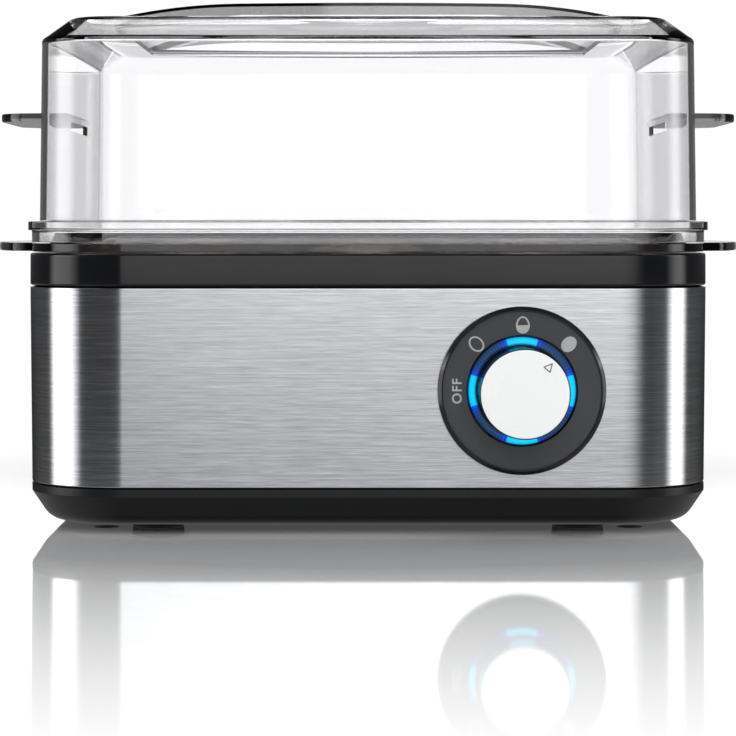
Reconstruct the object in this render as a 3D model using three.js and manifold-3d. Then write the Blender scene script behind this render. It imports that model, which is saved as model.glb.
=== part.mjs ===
// Countertop egg boiler: a rounded-square housing with a heated water dish, an egg tray that lifts off,
// a clear lid and a lit dial. Millimetres, +Z up, the front faces -Y, the feet stand on z = 0.

import * as THREE from "three";
import { mergeVertices } from "three/addons/utils/BufferGeometryUtils.js";
import Module from "manifold-3d";

const wasm = await Module();
wasm.setup();

// Driving dimensions, in millimetres

const gap = 0.3; // left between two pieces that touch
const overrun = 1; // how far a cut runs past the wall it goes through

const body = { width: 168, cornerRadius: 25, taper: 0.5 };
const foot = { diameter: 12.7, standing: 2.2, pocketDepth: 1, edge: 0.6, fromSide: 32.2, fromFront: 20 };
const base = { height: 9, band: 1.9, tuckIn: 13, floor: 2.4, wall: 2.2, spigot: 5 };
const vent = { length: 34, width: 2.6, pitch: 8, count: 5, fromCentre: 26 };
const sleeve = { height: 47.8, wall: 0.8 };
const collar = { height: 8, plate: 2.5, wall: 2.2, spigot: 5.7, edge: 0.8, ledge: 2, rimWall: 1.5 };
const post = { diameter: 8, acrossShare: 0.7857, alongShare: 0.5952, bossDiameter: 9 }; // of half the width
const baseScrew = { headDiameter: 6, headHeight: 2, shankDiameter: 3, length: 14, recess: 3 };

const dish = { fromSide: 12.5, depth: 11.4, wall: 1.6, floor: 2, draft: 4.5, drop: 1.2 };
const dishRim = { width: 4.7, thickness: 1.2 };
const dishBoss = { diameter: 6, fromWall: 10.5 };
const seal = { thickness: 1.2, width: 2.4 };
const shield = { wall: 0.8, rimInset: 2.2 };
const shieldScrew = { headDiameter: 5, headHeight: 1.6, shankDiameter: 2.8, length: 6 };
const element = { tube: 7, fromDishWall: 21.5, openAngle: 60, bend: 6, leg: 5 };
const thermostat = { diameter: 18, height: 9.5, flange: 1.5, bladeWidth: 4, bladeThickness: 0.8, blade: 5 };
const thermostatClip = { length: 46, width: 7, thickness: 0.8 };
const fuse = { diameter: 4, length: 11, fromClip: 9.5, strap: 0.8, clipWidth: 5, clipFoot: 5 };

const dial = { diameter: 40.4, fromSide: 47.1, belowMiddle: 0.6, thickness: 2.6 };
const dialRim = { width: 1.2, faceRecess: 0.5 };
const dialBoss = { wall: 3.2, depth: 5.3 };
const retainer = { width: 1.2, thickness: 2 };
const light = { diameter: 26.2, width: 2.1, recess: 0.2, flangeWidth: 4.5, flange: 1.3 };
const knob = { diameter: 21.1, projection: 14, wall: 1.5, front: 2.4, hubDiameter: 10 };
const knobCap = { thickness: 0.8, edge: 0.3 };
const shaft = { diameter: 6, flat: 1, length: 27.7 };
const switchBox = { width: 15, depth: 7, nut: 11, nutThickness: 2 };
const bush = { wall: 0.7, length: 6.8, clearance: 0.4 };
const board = { width: 34, height: 34, thickness: 1.6, edgeHeld: 2 };
const led = { width: 3.5, height: 2.2, ringRadius: 12.5, count: 4 };
const relay = { width: 6, height: 15, depth: 10, fromEdge: 5.9, aboveEdge: 12 };
const buzzer = { diameter: 8, depth: 5, fromEdge: 4.9, aboveEdge: 12, soundHole: 1.6 };
const rail = { width: 5, depth: 6, grip: 6 };

const terminal = { width: 28, depth: 12, height: 10, fromRear: 22, fromCentre: 18 };
const pole = { count: 3, diameter: 5, depth: 3 };
const gland = { bore: 7, wall: 1.5, flange: 2, flangeThickness: 1.5, nose: 4, aboveSleeve: 12.5 };
const wireSize = { diameter: 2, lead: 12 };
const wireBowShare = 0.25; // of the straight distance that a wire spans

const tray = { flange: 2.1, edgeInset: 0.5, deckRise: 2.8, deckInset: 4.1, deckSlope: 1.4, plate: 1.9 };
const tab = { overhang: 14.5, cornerOverhang: 6.4, halfLength: 48.4, corner: 5 };
const notch = { width: 10, depth: 1 };
const seat = { diameter: 39.6, narrowing: 4.05, depth: 8, wall: 1.6, fromDishWall: 19.5 };
const steamHole = { diameter: 5, fromSeatRing: 23 };

const lid = { inset: 0.3, cornerRadius: 20, height: 55.3, wall: 1.8, topWall: 1.9 };
const lidWall = { inset: 3.1, draft: 0.4 };
const skirt = { inset: 0.6, height: 2.9, wall: 1.8, lip: 2.2, lipEdge: 0.7 };
const chamfer = { height: 5.4, width: 7.5 };
const hump = { height: 3.2, fromSide: 21.7, shoulder: 30, fromFront: 11.2, bow: 16, wall: 1.8 };
const wing = { overhang: 12.8, thickness: 2.1, rootLength: 60, tipLength: 34, corner: 9, height: 31.1 };
const slot = { length: 44, height: 2.4 };

// Levels above the floor, from the feet up

const half = body.width / 2;
const baseTop = foot.standing + base.height;
const sleeveBottom = baseTop + gap;
const sleeveTop = sleeveBottom + sleeve.height;
const collarBottom = sleeveTop + gap;
const collarTop = collarBottom + collar.height;
const dishRimTop = collarTop - dish.drop;
const sealTop = dishRimTop - dishRim.thickness - gap;
const ledgeTop = sealTop - seal.thickness - gap;
const ledgeBottom = ledgeTop - collar.ledge;
const dishFloor = dishRimTop - dish.depth;
const dishUnderside = dishFloor - dish.floor;
const shieldBottom = dishUnderside - gap - thermostat.height;
const shieldTop = shieldBottom + shield.wall;
const elementLevel = dishUnderside - gap - element.tube / 2;
const elementEnd = shieldBottom - element.leg;
const trayBottom = collarTop + gap;
const lidBottom = trayBottom + tray.flange + gap;
const dialLevel = sleeveBottom + sleeve.height / 2 - dial.belowMiddle;
const dialX = half - dial.fromSide;

// Radii that one piece gives its neighbour

const dishRadius = half - dish.fromSide;
const dishOuterRadius = dishRadius + dish.wall;
const rimRadius = dishRadius + dishRim.width;
const openingRadius = rimRadius + gap;
const ledgeInnerRadius = dishOuterRadius + gap;
const elementRadius = dishRadius - element.fromDishWall;
const spigotInset = body.taper + sleeve.wall + gap;

// Finishes

function finish(color, roughness, metalness, opacity = 1) {
  return new THREE.MeshStandardMaterial({ color, roughness, metalness, opacity, transparent: opacity < 1 });
}
const smokedPlastic = finish(0x9a9da0, 0.08, 0, 0.35);
const blackGloss = finish(0x1b1c1e, 0.25, 0);
const blackSatin = finish(0x17181a, 0.45, 0);
const dialGrey = finish(0x444548, 0.5, 0);
const brushedSteel = finish(0xc5c7ca, 0.3, 1);
const zincSteel = finish(0xb4b7b8, 0.35, 1);
const castAluminium = finish(0xa9abad, 0.45, 1);
const brightAluminium = finish(0xf0f2f4, 0.25, 0.9);
const brightChrome = finish(0xc3c6ca, 0.12, 1);
const silicone = finish(0xc9c4bb, 0.7, 0);
const rubber = finish(0x121314, 0.85, 0);
const blueGuide = finish(0x1a7dff, 0.2, 0);
const circuitGreen = finish(0x1f6b3a, 0.5, 0);
const paleCeramic = finish(0xe8e4da, 0.6, 0);
const relayBlue = finish(0x2a4f9c, 0.5, 0);
const whiteDiode = finish(0xf2f6ff, 0.3, 0);

// Mesh tools

// Merges the vertices that share a place and drops the faces that have no area
function weld(geometry) {
  const bare = geometry.clone();
  bare.deleteAttribute("normal");
  bare.deleteAttribute("uv");
  const merged = mergeVertices(bare);
  const index = [];
  const old = merged.index.array;
  for (let i = 0; i < old.length; i += 3) {
    const [a, b, c] = [old[i], old[i + 1], old[i + 2]];
    if (a !== b && b !== c && c !== a) index.push(a, b, c);
  }
  merged.setIndex(index);
  return merged;
}

// Turns a closed mesh so that its faces point out
function facingOut(geometry) {
  const place = geometry.attributes.position;
  const index = geometry.index.array;
  const corners = [new THREE.Vector3(), new THREE.Vector3(), new THREE.Vector3()];
  let volume = 0;
  for (let i = 0; i < index.length; i += 3) {
    corners.forEach((corner, k) => corner.fromBufferAttribute(place, index[i + k]));
    volume += corners[0].dot(corners[1].clone().cross(corners[2]));
  }
  if (volume < 0) {
    for (let i = 0; i < index.length; i += 3) {
      [index[i + 1], index[i + 2]] = [index[i + 2], index[i + 1]];
    }
  }
  return geometry;
}

function toSolid(geometry) {
  const closed = facingOut(weld(geometry));
  const vertProperties = new Float32Array(closed.attributes.position.array);
  const triVerts = new Uint32Array(closed.index.array);
  return new wasm.Manifold(new wasm.Mesh({ numProp: 3, vertProperties, triVerts }));
}

function toGeometry(solid) {
  const mesh = solid.getMesh();
  const geometry = new THREE.BufferGeometry();
  geometry.setAttribute("position", new THREE.BufferAttribute(new Float32Array(mesh.vertProperties), 3));
  geometry.setIndex(Array.from(mesh.triVerts));
  return geometry;
}

function combine(operation, geometry, others) {
  return toGeometry(others.reduce((solid, other) => solid[operation](toSolid(other)), toSolid(geometry)));
}
const join = (geometry, ...others) => combine("add", geometry, others);
const cut = (geometry, ...others) => combine("subtract", geometry, others);
const common = (geometry, ...others) => combine("intersect", geometry, others);

// Shape tools

// A ring of points round a rounded square
function roundedSquare(halfWidth, radius) {
  const cornerSteps = 6;
  const points = [];
  for (let corner = 0; corner < 4; corner += 1) {
    for (let step = 0; step <= cornerSteps; step += 1) {
      const angle = ((corner + step / cornerSteps) * Math.PI) / 2;
      const [sx, sy] = [[1, 1], [-1, 1], [-1, -1], [1, -1]][corner];
      points.push(new THREE.Vector2(
        sx * (halfWidth - radius) + radius * Math.cos(angle),
        sy * (halfWidth - radius) + radius * Math.sin(angle),
      ));
    }
  }
  return points;
}

// A lathe that runs round a rounded square. The profile's points are [inset from the edge, height].
// A capped profile starts and ends on the middle, any other closes on itself.
function squareTurned(halfWidth, radius, profile, capped) {
  const vertices = [];
  const index = [];
  const rings = profile.map(([inset, height]) => {
    const start = vertices.length / 3;
    const ring = roundedSquare(halfWidth - inset, radius - inset);
    ring.forEach((point) => vertices.push(point.x, point.y, height));
    return { start, count: ring.length, height };
  });
  const count = rings[0].count;
  const pairs = capped ? rings.length - 1 : rings.length;
  for (let r = 0; r < pairs; r += 1) {
    const [low, high] = [rings[r].start, rings[(r + 1) % rings.length].start];
    for (let i = 0; i < count; i += 1) {
      const next = (i + 1) % count;
      index.push(low + i, low + next, high + next, low + i, high + next, high + i);
    }
  }
  if (capped) {
    const [first, last] = [rings[0], rings[rings.length - 1]];
    const middle = vertices.length / 3;
    vertices.push(0, 0, first.height, 0, 0, last.height);
    for (let i = 0; i < count; i += 1) {
      const next = (i + 1) % count;
      index.push(middle, first.start + next, first.start + i);
      index.push(middle + 1, last.start + i, last.start + next);
    }
  }
  const geometry = new THREE.BufferGeometry();
  geometry.setAttribute("position", new THREE.BufferAttribute(new Float32Array(vertices), 3));
  geometry.setIndex(index);
  return facingOut(weld(geometry));
}

// A round piece about Z. The profile's points are [radius, height]; it closes on the axis or on itself.
function turned(profile, segments) {
  const onAxis = profile[0][0] === 0;
  const points = (onAxis ? profile : [...profile, profile[0]]).map(([r, h]) => new THREE.Vector2(r, h));
  const geometry = new THREE.LatheGeometry(points, segments);
  geometry.rotateX(Math.PI / 2);
  return facingOut(weld(geometry));
}

const roundBar = (radius, low, high, segments) =>
  turned([[0, low], [radius, low], [radius, high], [0, high]], segments);
const ringBar = (inner, outer, low, high, segments) =>
  turned([[inner, low], [outer, low], [outer, high], [inner, high]], segments);

// A box with its lowest corner and its size given
function box(x, y, z, width, depth, height) {
  const geometry = new THREE.BoxGeometry(width, depth, height);
  geometry.translate(x + width / 2, y + depth / 2, z + height / 2);
  return facingOut(weld(geometry));
}

// An outline in X and Y, raised from one height to another
function raised(shape, low, high, curveSegments = 8) {
  const depth = high - low;
  const geometry = new THREE.ExtrudeGeometry(shape, { depth, bevelEnabled: false, curveSegments });
  geometry.translate(0, 0, low);
  return facingOut(weld(geometry));
}

function outline(points) {
  return new THREE.Shape(points.map(([x, y]) => new THREE.Vector2(x, y)));
}

// A round tube along a curve
function tube(curve, diameter, sides, steps) {
  const section = new THREE.Shape();
  for (let i = 0; i < sides; i += 1) {
    const angle = (i * 2 * Math.PI) / sides;
    const [x, y] = [(diameter / 2) * Math.cos(angle), (diameter / 2) * Math.sin(angle)];
    if (i === 0) section.moveTo(x, y);
    else section.lineTo(x, y);
  }
  const geometry = new THREE.ExtrudeGeometry(section, { steps, bevelEnabled: false, extrudePath: curve });
  return facingOut(weld(geometry));
}

function moved(geometry, x, y, z) {
  const copy = geometry.clone();
  copy.translate(x, y, z);
  return copy;
}

const boiler = new THREE.Group();

function add(name, geometry, material, place = [0, 0, 0], parent = boiler) {
  const mesh = new THREE.Mesh(geometry, material);
  mesh.name = name;
  mesh.position.set(...place);
  parent.add(mesh);
  return mesh;
}

// The four corners, as signs of X and Y
const corners = [
  { side: "front_left", sx: -1, sy: -1 },
  { side: "front_right", sx: 1, sy: -1 },
  { side: "rear_left", sx: -1, sy: 1 },
  { side: "rear_right", sx: 1, sy: 1 },
];
const footX = half - foot.fromSide;
const footY = half - foot.fromFront;
const postX = half * post.acrossShare;
const postY = half * post.alongShare;

// Where the dial's pieces lie in front of the sleeve's front plane; minus is inside the housing
const faceLevel = gap + dial.thickness - dialRim.faceRecess;
const bossEnd = gap - dialBoss.depth;
const guideBack = bossEnd - gap - light.flange;
const boardFront = guideBack - gap - led.height - gap;
const boardBack = boardFront - board.thickness;
const switchFront = boardBack - gap;
const wallInside = -(body.taper + sleeve.wall + gap);
const guideInnerRadius = light.diameter / 2 - light.width;
const dialBossRadius = light.diameter / 2 + gap + dialBoss.wall;

// Feet: rubber buttons in pockets of the base

const footRadius = foot.diameter / 2;
const footTop = foot.standing + foot.pocketDepth - gap;
const footProfile = [
  [0, 0],
  [footRadius - foot.edge, 0],
  [footRadius, foot.edge],
  [footRadius, footTop],
  [0, footTop],
];
for (const { side, sx, sy } of corners) {
  add(`foot_${side}`, turned(footProfile, 16), rubber, [sx * footX, sy * footY, 0]);
}

// Base pan: floor, curved-in lower edge, spigot for the sleeve, screw bosses, board rails and vents

const bandInset = body.taper;
const bandLow = base.height - base.band;
const spigotInner = spigotInset + base.wall;
const basePlanRadius = body.cornerRadius;
const tuckSteps = 5;
function tuckedEdge(inset, depth, low) {
  const points = [];
  for (let step = 0; step <= tuckSteps; step += 1) {
    const angle = (step / tuckSteps) * (Math.PI / 2);
    points.push([
      inset + depth * (1 - Math.sin(angle)),
      low + (bandLow - low) * (1 - Math.cos(angle)),
    ]);
  }
  return points;
}
const baseProfile = [
  ...tuckedEdge(bandInset, base.tuckIn, 0),
  [bandInset, base.height],
  [spigotInset, base.height],
  [spigotInset, base.height + base.spigot],
  [spigotInner, base.height + base.spigot],
  ...tuckedEdge(spigotInner, base.tuckIn + bandInset - spigotInner, base.floor).reverse(),
];
const recessRadius = baseScrew.headDiameter / 2 + gap;
const screwHole = baseScrew.shankDiameter / 2 + gap;
const bossTop = base.height + gap;
const bossTools = corners.map(({ sx, sy }) =>
  moved(roundBar(post.bossDiameter / 2, base.floor / 2, bossTop, 12), sx * postX, sy * postY, 0));
const boardY = -(half + (boardFront + boardBack) / 2);
const boardLow = dialLevel - board.height / 2 - foot.standing;
const railTools = [-1, 1].map((side) => {
  const edge = dialX + (side * board.width) / 2;
  const x = side < 0 ? edge + board.edgeHeld - rail.width : edge - board.edgeHeld;
  const height = boardLow + rail.grip - base.floor / 2;
  return box(x, boardY - rail.depth / 2, base.floor / 2, rail.width, rail.depth, height);
});
const railCut = box(
  dialX - board.width / 2 - gap,
  boardY - board.thickness / 2 - gap,
  boardLow - gap,
  board.width + 2 * gap,
  board.thickness + 2 * gap,
  board.height,
);
const baseCuts = [railCut];
const footPocket = roundBar(footRadius + gap, -overrun, foot.pocketDepth, 16);
const screwRecess = roundBar(recessRadius, -overrun, baseScrew.recess, 12);
const screwWay = roundBar(screwHole, -overrun, bossTop + overrun, 8);
for (const { sx, sy } of corners) {
  baseCuts.push(moved(footPocket, sx * footX, sy * footY, 0));
  baseCuts.push(moved(screwRecess, sx * postX, sy * postY, 0));
  baseCuts.push(moved(screwWay, sx * postX, sy * postY, 0));
}
for (let i = 0; i < vent.count; i += 1) {
  const y = vent.fromCentre + (i - (vent.count - 1) / 2) * vent.pitch - vent.width / 2;
  baseCuts.push(box(-vent.length / 2, y, -overrun, vent.length, vent.width, base.floor + 2 * overrun));
}
const basePan = cut(
  join(squareTurned(half, basePlanRadius, baseProfile, true), ...bossTools, ...railTools),
  ...baseCuts,
);
add("base_pan", basePan, blackSatin, [0, 0, foot.standing]);

// Base screws: from below through the base's bosses into the collar's posts

const baseScrewTop = baseScrew.recess - gap;
const baseScrewProfile = [
  [0, baseScrewTop - baseScrew.headHeight],
  [baseScrew.headDiameter / 2, baseScrewTop - baseScrew.headHeight],
  [baseScrew.headDiameter / 2, baseScrewTop],
  [baseScrew.shankDiameter / 2, baseScrewTop],
  [baseScrew.shankDiameter / 2, baseScrewTop + baseScrew.length],
  [0, baseScrewTop + baseScrew.length],
];
corners.forEach(({ side, sx, sy }) => {
  add(`base_screw_${side}`, turned(baseScrewProfile, 8), zincSteel, [sx * postX, sy * postY, foot.standing]);
});

// Sleeve: one wall that narrows a little towards the base, with holes for the dial and the cord

const sleeveProfile = [
  [body.taper, 0],
  [0, sleeve.height],
  [sleeve.wall, sleeve.height],
  [body.taper + sleeve.wall, 0],
];
const glandLevel = gland.aboveSleeve;
const glandNeck = gland.bore / 2 + gland.wall;
const dialHole = roundBar(dialBossRadius + gap, -half - overrun, -half / 2, 28);
dialHole.rotateX(-Math.PI / 2);
dialHole.translate(dialX, 0, dialLevel - sleeveBottom);
const glandHole = roundBar(glandNeck + gap, half / 2, half + overrun, 16);
glandHole.rotateX(-Math.PI / 2);
glandHole.translate(0, 0, glandLevel);
const sleeveWall = squareTurned(half, body.cornerRadius, sleeveProfile, false);
add("steel_sleeve", cut(sleeveWall, dialHole, glandHole), brushedSteel, [0, 0, sleeveBottom]);

// Collar: top plate with a round opening, ledge for the dish, spigot in the sleeve, four long posts

const plateUnder = collar.height - collar.plate;
const collarProfile = [
  [spigotInset + collar.wall, plateUnder],
  [spigotInset + collar.wall, -collar.spigot],
  [spigotInset, -collar.spigot],
  [spigotInset, 0],
  [0, 0],
  [0, collar.height - collar.edge],
  [collar.edge * (1 - Math.SQRT1_2), collar.height - collar.edge * (1 - Math.SQRT1_2)],
  [collar.edge, collar.height],
];
const ledgeRing = ringBar(
  ledgeInnerRadius,
  openingRadius + collar.rimWall,
  ledgeBottom - collarBottom,
  collar.height - collar.plate / 2,
  48,
);
const dishOpening = roundBar(openingRadius, ledgeTop - collarBottom, collar.height + overrun, 48);
const postLow = foot.standing + bossTop + gap - collarBottom;
const pilotTop = foot.standing + baseScrewTop + baseScrew.length + gap - collarBottom;
const postBar = roundBar(post.diameter / 2, postLow, collar.height - collar.plate / 2, 10);
const pilotBar = roundBar(screwHole, postLow - overrun, pilotTop, 8);
const postTools = corners.map(({ sx, sy }) => moved(postBar, sx * postX, sy * postY, 0));
const pilotTools = corners.map(({ sx, sy }) => moved(pilotBar, sx * postX, sy * postY, 0));
const wellLow = ledgeBottom - collarBottom - overrun;
const dishWell = roundBar(ledgeInnerRadius, wellLow, collar.height + overrun, 48);
const collarShell = squareTurned(half, body.cornerRadius, collarProfile, true);
add(
  "collar",
  cut(join(collarShell, ledgeRing, ...postTools), dishOpening, dishWell, ...pilotTools),
  blackGloss,
  [0, 0, collarBottom],
);

// Water dish: cast, with a rim on the seal, a drafted wall and three bosses for the shield's screws

const floorRadius = dishRadius - dish.draft;
const rimUnder = dish.depth - dishRim.thickness;
const dishProfile = [
  [0, 0],
  [floorRadius, 0],
  [dishRadius, dish.depth],
  [rimRadius, dish.depth],
  [rimRadius, rimUnder],
  [dishOuterRadius, rimUnder],
  [floorRadius + dish.wall, -dish.floor],
  [0, -dish.floor],
];
const shieldScrewHole = shieldScrew.shankDiameter / 2 + gap;
const bossUnder = shieldTop + gap - dishFloor;
const bossPlaces = [0, 1, 2].map((i) => {
  const angle = Math.PI / 6 + (i * 2 * Math.PI) / 3;
  const radius = dishRadius - dishBoss.fromWall;
  return [radius * Math.cos(angle), -radius * Math.sin(angle)];
});
const dishBosses = bossPlaces.map(([x, y]) =>
  moved(roundBar(dishBoss.diameter / 2, bossUnder, -dish.floor / 2, 10), x, y, 0));
const dishPilots = bossPlaces.map(([x, y]) =>
  moved(roundBar(shieldScrewHole, bossUnder - overrun, -dish.floor, 8), x, y, 0));
add(
  "water_dish",
  cut(join(turned(dishProfile, 48), ...dishBosses), ...dishPilots),
  castAluminium,
  [0, 0, dishFloor],
);

// Seal: flat silicone ring between the dish's rim and the collar's ledge

const sealOuter = openingRadius - gap;
add(
  "dish_seal",
  ringBar(sealOuter - seal.width, sealOuter, 0, seal.thickness, 36),
  silicone,
  [0, 0, ledgeTop + gap],
);

// Heat shield: pan whose rim presses up on the collar's ledge, held to the dish by three screws

const shieldRadius = openingRadius + collar.rimWall - shield.rimInset - shield.wall;
const shieldHole = thermostat.diameter / 2 + overrun;
const halfOpen = (element.openAngle / 2) * THREE.MathUtils.DEG2RAD;
const legX = elementRadius * Math.sin(halfOpen) - element.bend * Math.cos(halfOpen);
const legY = elementRadius * Math.cos(halfOpen) + element.bend * Math.sin(halfOpen);
const shieldProfile = [
  [shieldHole, 0],
  [shieldRadius, 0],
  [shieldRadius, ledgeBottom - gap - shieldBottom],
  [shieldRadius - shield.wall, ledgeBottom - gap - shieldBottom],
  [shieldRadius - shield.wall, shield.wall],
  [shieldHole, shield.wall],
];
const legHoles = [-1, 1].map((side) =>
  moved(roundBar(element.tube / 2 + overrun, -overrun, shield.wall + overrun, 12), side * legX, legY, 0));
const shieldHoles = bossPlaces.map(([x, y]) =>
  moved(roundBar(shieldScrewHole, -overrun, shield.wall + overrun, 8), x, y, 0));
add(
  "heat_shield",
  cut(turned(shieldProfile, 36), ...legHoles, ...shieldHoles),
  zincSteel,
  [0, 0, shieldBottom],
);
const shieldScrewProfile = [
  [0, -shieldScrew.headHeight],
  [shieldScrew.headDiameter / 2, -shieldScrew.headHeight],
  [shieldScrew.headDiameter / 2, 0],
  [shieldScrew.shankDiameter / 2, 0],
  [shieldScrew.shankDiameter / 2, shieldScrew.length],
  [0, shieldScrew.length],
];
bossPlaces.forEach(([x, y], i) => {
  add(`shield_screw_${i + 1}`, turned(shieldScrewProfile, 8), zincSteel, [x, y, shieldBottom - gap]);
});

// Heating element: a C-shaped tube under the dish with both ends bent down through the shield

class ElementPath extends THREE.Curve {
  constructor() {
    super();
    const sweep = 2 * (Math.PI - halfOpen);
    this.arc = sweep * elementRadius;
    this.legLength = -element.bend - (elementEnd - elementLevel);
    this.bendLength = (element.bend * Math.PI) / 2;
    this.total = this.arc + 2 * (this.legLength + this.bendLength);
  }

  // The plan angle runs from one end of the open side round the front to the other
  onRing(distance, drop, back) {
    const angle = Math.PI / 2 + halfOpen + distance / elementRadius;
    const place = new THREE.Vector3(Math.cos(angle), Math.sin(angle), 0).multiplyScalar(elementRadius);
    const along = new THREE.Vector3(-Math.sin(angle), Math.cos(angle), 0);
    place.addScaledVector(along, back);
    place.z = drop;
    return place;
  }

  fromEnd(distance, end, sign) {
    if (distance < this.legLength) {
      return this.onRing(end, distance - this.legLength - element.bend, -sign * element.bend);
    }
    const turn = (distance - this.legLength) / element.bend;
    const back = -sign * element.bend * Math.cos(turn);
    return this.onRing(end, -element.bend * (1 - Math.sin(turn)), back);
  }

  getPoint(t, target = new THREE.Vector3()) {
    const distance = t * this.total;
    const ends = this.legLength + this.bendLength;
    let point;
    if (distance < ends) point = this.fromEnd(distance, 0, 1);
    else if (distance > this.total - ends) point = this.fromEnd(this.total - distance, this.arc, -1);
    else point = this.onRing(distance - ends, 0, 0);
    return target.copy(point);
  }
}
add("heating_element", tube(new ElementPath(), element.tube, 8, 44), zincSteel, [0, 0, elementLevel]);

// Thermostat: button pressed up against the dish by a strap under the shield, with two blades

const thermostatRadius = thermostat.diameter / 2;
const bladeOffset = thermostatClip.width / 2 + thermostat.bladeWidth / 2 + gap;
const thermostatBody = turned([
  [0, 0],
  [thermostatRadius - thermostat.flange, 0],
  [thermostatRadius - thermostat.flange, thermostat.height / 2],
  [thermostatRadius, thermostat.height / 2],
  [thermostatRadius, thermostat.height],
  [0, thermostat.height],
], 20);
const blades = [-1, 1].map((side) => box(
  -thermostat.bladeThickness / 2,
  side * bladeOffset - thermostat.bladeWidth / 2,
  -thermostat.blade,
  thermostat.bladeThickness,
  thermostat.bladeWidth,
  thermostat.blade + thermostat.flange,
));
add("thermostat", join(thermostatBody, ...blades), paleCeramic, [0, 0, shieldBottom]);
const clipBar = box(
  -thermostatClip.length / 2,
  -thermostatClip.width / 2,
  0,
  thermostatClip.length,
  thermostatClip.width,
  thermostatClip.thickness,
);
add("thermostat_clip", clipBar, zincSteel, [0, 0, shieldBottom - gap - thermostatClip.thickness]);

// Thermal fuse in its saddle, under the shield

const fuseRadius = fuse.diameter / 2;
const fuseLevel = shieldBottom - gap - fuseRadius;
const fuseX = -(thermostatClip.length / 2 + fuse.fromClip + fuse.length / 2);
const fuseBody = roundBar(fuseRadius, -fuse.length / 2, fuse.length / 2, 12);
fuseBody.rotateY(Math.PI / 2);
add("thermal_fuse", fuseBody, paleCeramic, [fuseX, 0, fuseLevel]);
const saddleInner = fuseRadius + gap;
const saddleOuter = saddleInner + fuse.strap;
const saddle = new THREE.Shape();
saddle.moveTo(saddleOuter + fuse.clipFoot, fuseRadius);
saddle.lineTo(saddleInner, fuseRadius);
saddle.lineTo(saddleInner, 0);
saddle.absarc(0, 0, saddleInner, 0, Math.PI, true);
saddle.lineTo(-saddleInner, fuseRadius);
saddle.lineTo(-saddleOuter - fuse.clipFoot, fuseRadius);
saddle.lineTo(-saddleOuter - fuse.clipFoot, fuseRadius - fuse.strap);
saddle.lineTo(-saddleOuter, fuseRadius - fuse.strap);
saddle.lineTo(-saddleOuter, 0);
saddle.absarc(0, 0, saddleOuter, Math.PI, 2 * Math.PI, false);
saddle.lineTo(saddleOuter, fuseRadius - fuse.strap);
saddle.lineTo(saddleOuter + fuse.clipFoot, fuseRadius - fuse.strap);
const saddleStrap = raised(saddle, -fuse.clipWidth / 2, fuse.clipWidth / 2, 10);
saddleStrap.rotateX(Math.PI / 2);
saddleStrap.rotateZ(Math.PI / 2);
add("fuse_clip", saddleStrap, zincSteel, [fuseX, 0, fuseLevel]);

// Dial: in this group Z points out of the front and Y points up

const front = new THREE.Group();
front.position.set(dialX, -half, dialLevel);
front.rotation.x = Math.PI / 2;
boiler.add(front);
const onFront = (name, geometry, material, place = [0, 0, 0]) => add(name, geometry, material, place, front);

const dialRadius = dial.diameter / 2;
const dialFront = gap + dial.thickness;
const guideOuterRadius = light.diameter / 2;
onFront("dial_bezel", turned([
  [guideOuterRadius + gap, bossEnd],
  [dialBossRadius, bossEnd],
  [dialBossRadius, gap],
  [dialRadius, gap],
  [dialRadius, dialFront - dialRim.faceRecess],
  [dialRadius - dialRim.faceRecess, dialFront],
  [dialRadius - dialRim.width, dialFront],
  [dialRadius - dialRim.width - dialRim.faceRecess / 2, faceLevel],
  [guideOuterRadius + gap, faceLevel],
], 40), dialGrey);
onFront("dial_retainer", ringBar(
  dialBossRadius + gap,
  dialBossRadius + gap + retainer.width,
  wallInside - retainer.thickness,
  wallInside,
  24,
), blackSatin);
onFront("light_guide", turned([
  [guideInnerRadius, guideBack],
  [guideInnerRadius + light.flangeWidth, guideBack],
  [guideInnerRadius + light.flangeWidth, bossEnd - gap],
  [guideOuterRadius, bossEnd - gap],
  [guideOuterRadius, faceLevel - light.recess],
  [guideInnerRadius, faceLevel - light.recess],
], 36), blueGuide);

// Knob: hollow body on a flatted shaft, with a bright face plate

const capFront = faceLevel + knob.projection;
const knobFront = capFront - knobCap.thickness - gap;
const knobRadius = knob.diameter / 2;
const hubBack = switchFront + bush.length + 2 * gap;
const shaftBack = knobFront - knob.front - shaft.length;
function flatted(radius, flat) {
  const shape = new THREE.Shape();
  const start = Math.acos((radius - flat) / radius);
  shape.absarc(0, 0, radius, Math.PI / 2 + start, Math.PI / 2 - start + 2 * Math.PI, false);
  return shape;
}
const shaftRadius = shaft.diameter / 2;
const boreFront = knobFront - knob.front + gap;
const knobShell = turned([
  [0, hubBack],
  [knob.hubDiameter / 2, hubBack],
  [knob.hubDiameter / 2, knobFront - knob.front],
  [knobRadius - knob.wall, knobFront - knob.front],
  [knobRadius - knob.wall, hubBack],
  [knobRadius, hubBack],
  [knobRadius, knobFront],
  [0, knobFront],
], 36);
const hubBore = raised(flatted(shaftRadius + gap, shaft.flat), hubBack - overrun, boreFront, 16);
onFront("knob_body", cut(knobShell, hubBore), brightChrome);
onFront("knob_cap", turned([
  [0, knobFront + gap],
  [knobRadius, knobFront + gap],
  [knobRadius, capFront - knobCap.edge],
  [knobRadius - knobCap.edge, capFront],
  [0, capFront],
], 36), brightAluminium);
const shaftBar = raised(flatted(shaftRadius, shaft.flat), shaftBack, shaftBack + shaft.length, 16);
onFront("knob_shaft", shaftBar, zincSteel);

// Rotary switch behind the board, its bush through the board, and its nut

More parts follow.
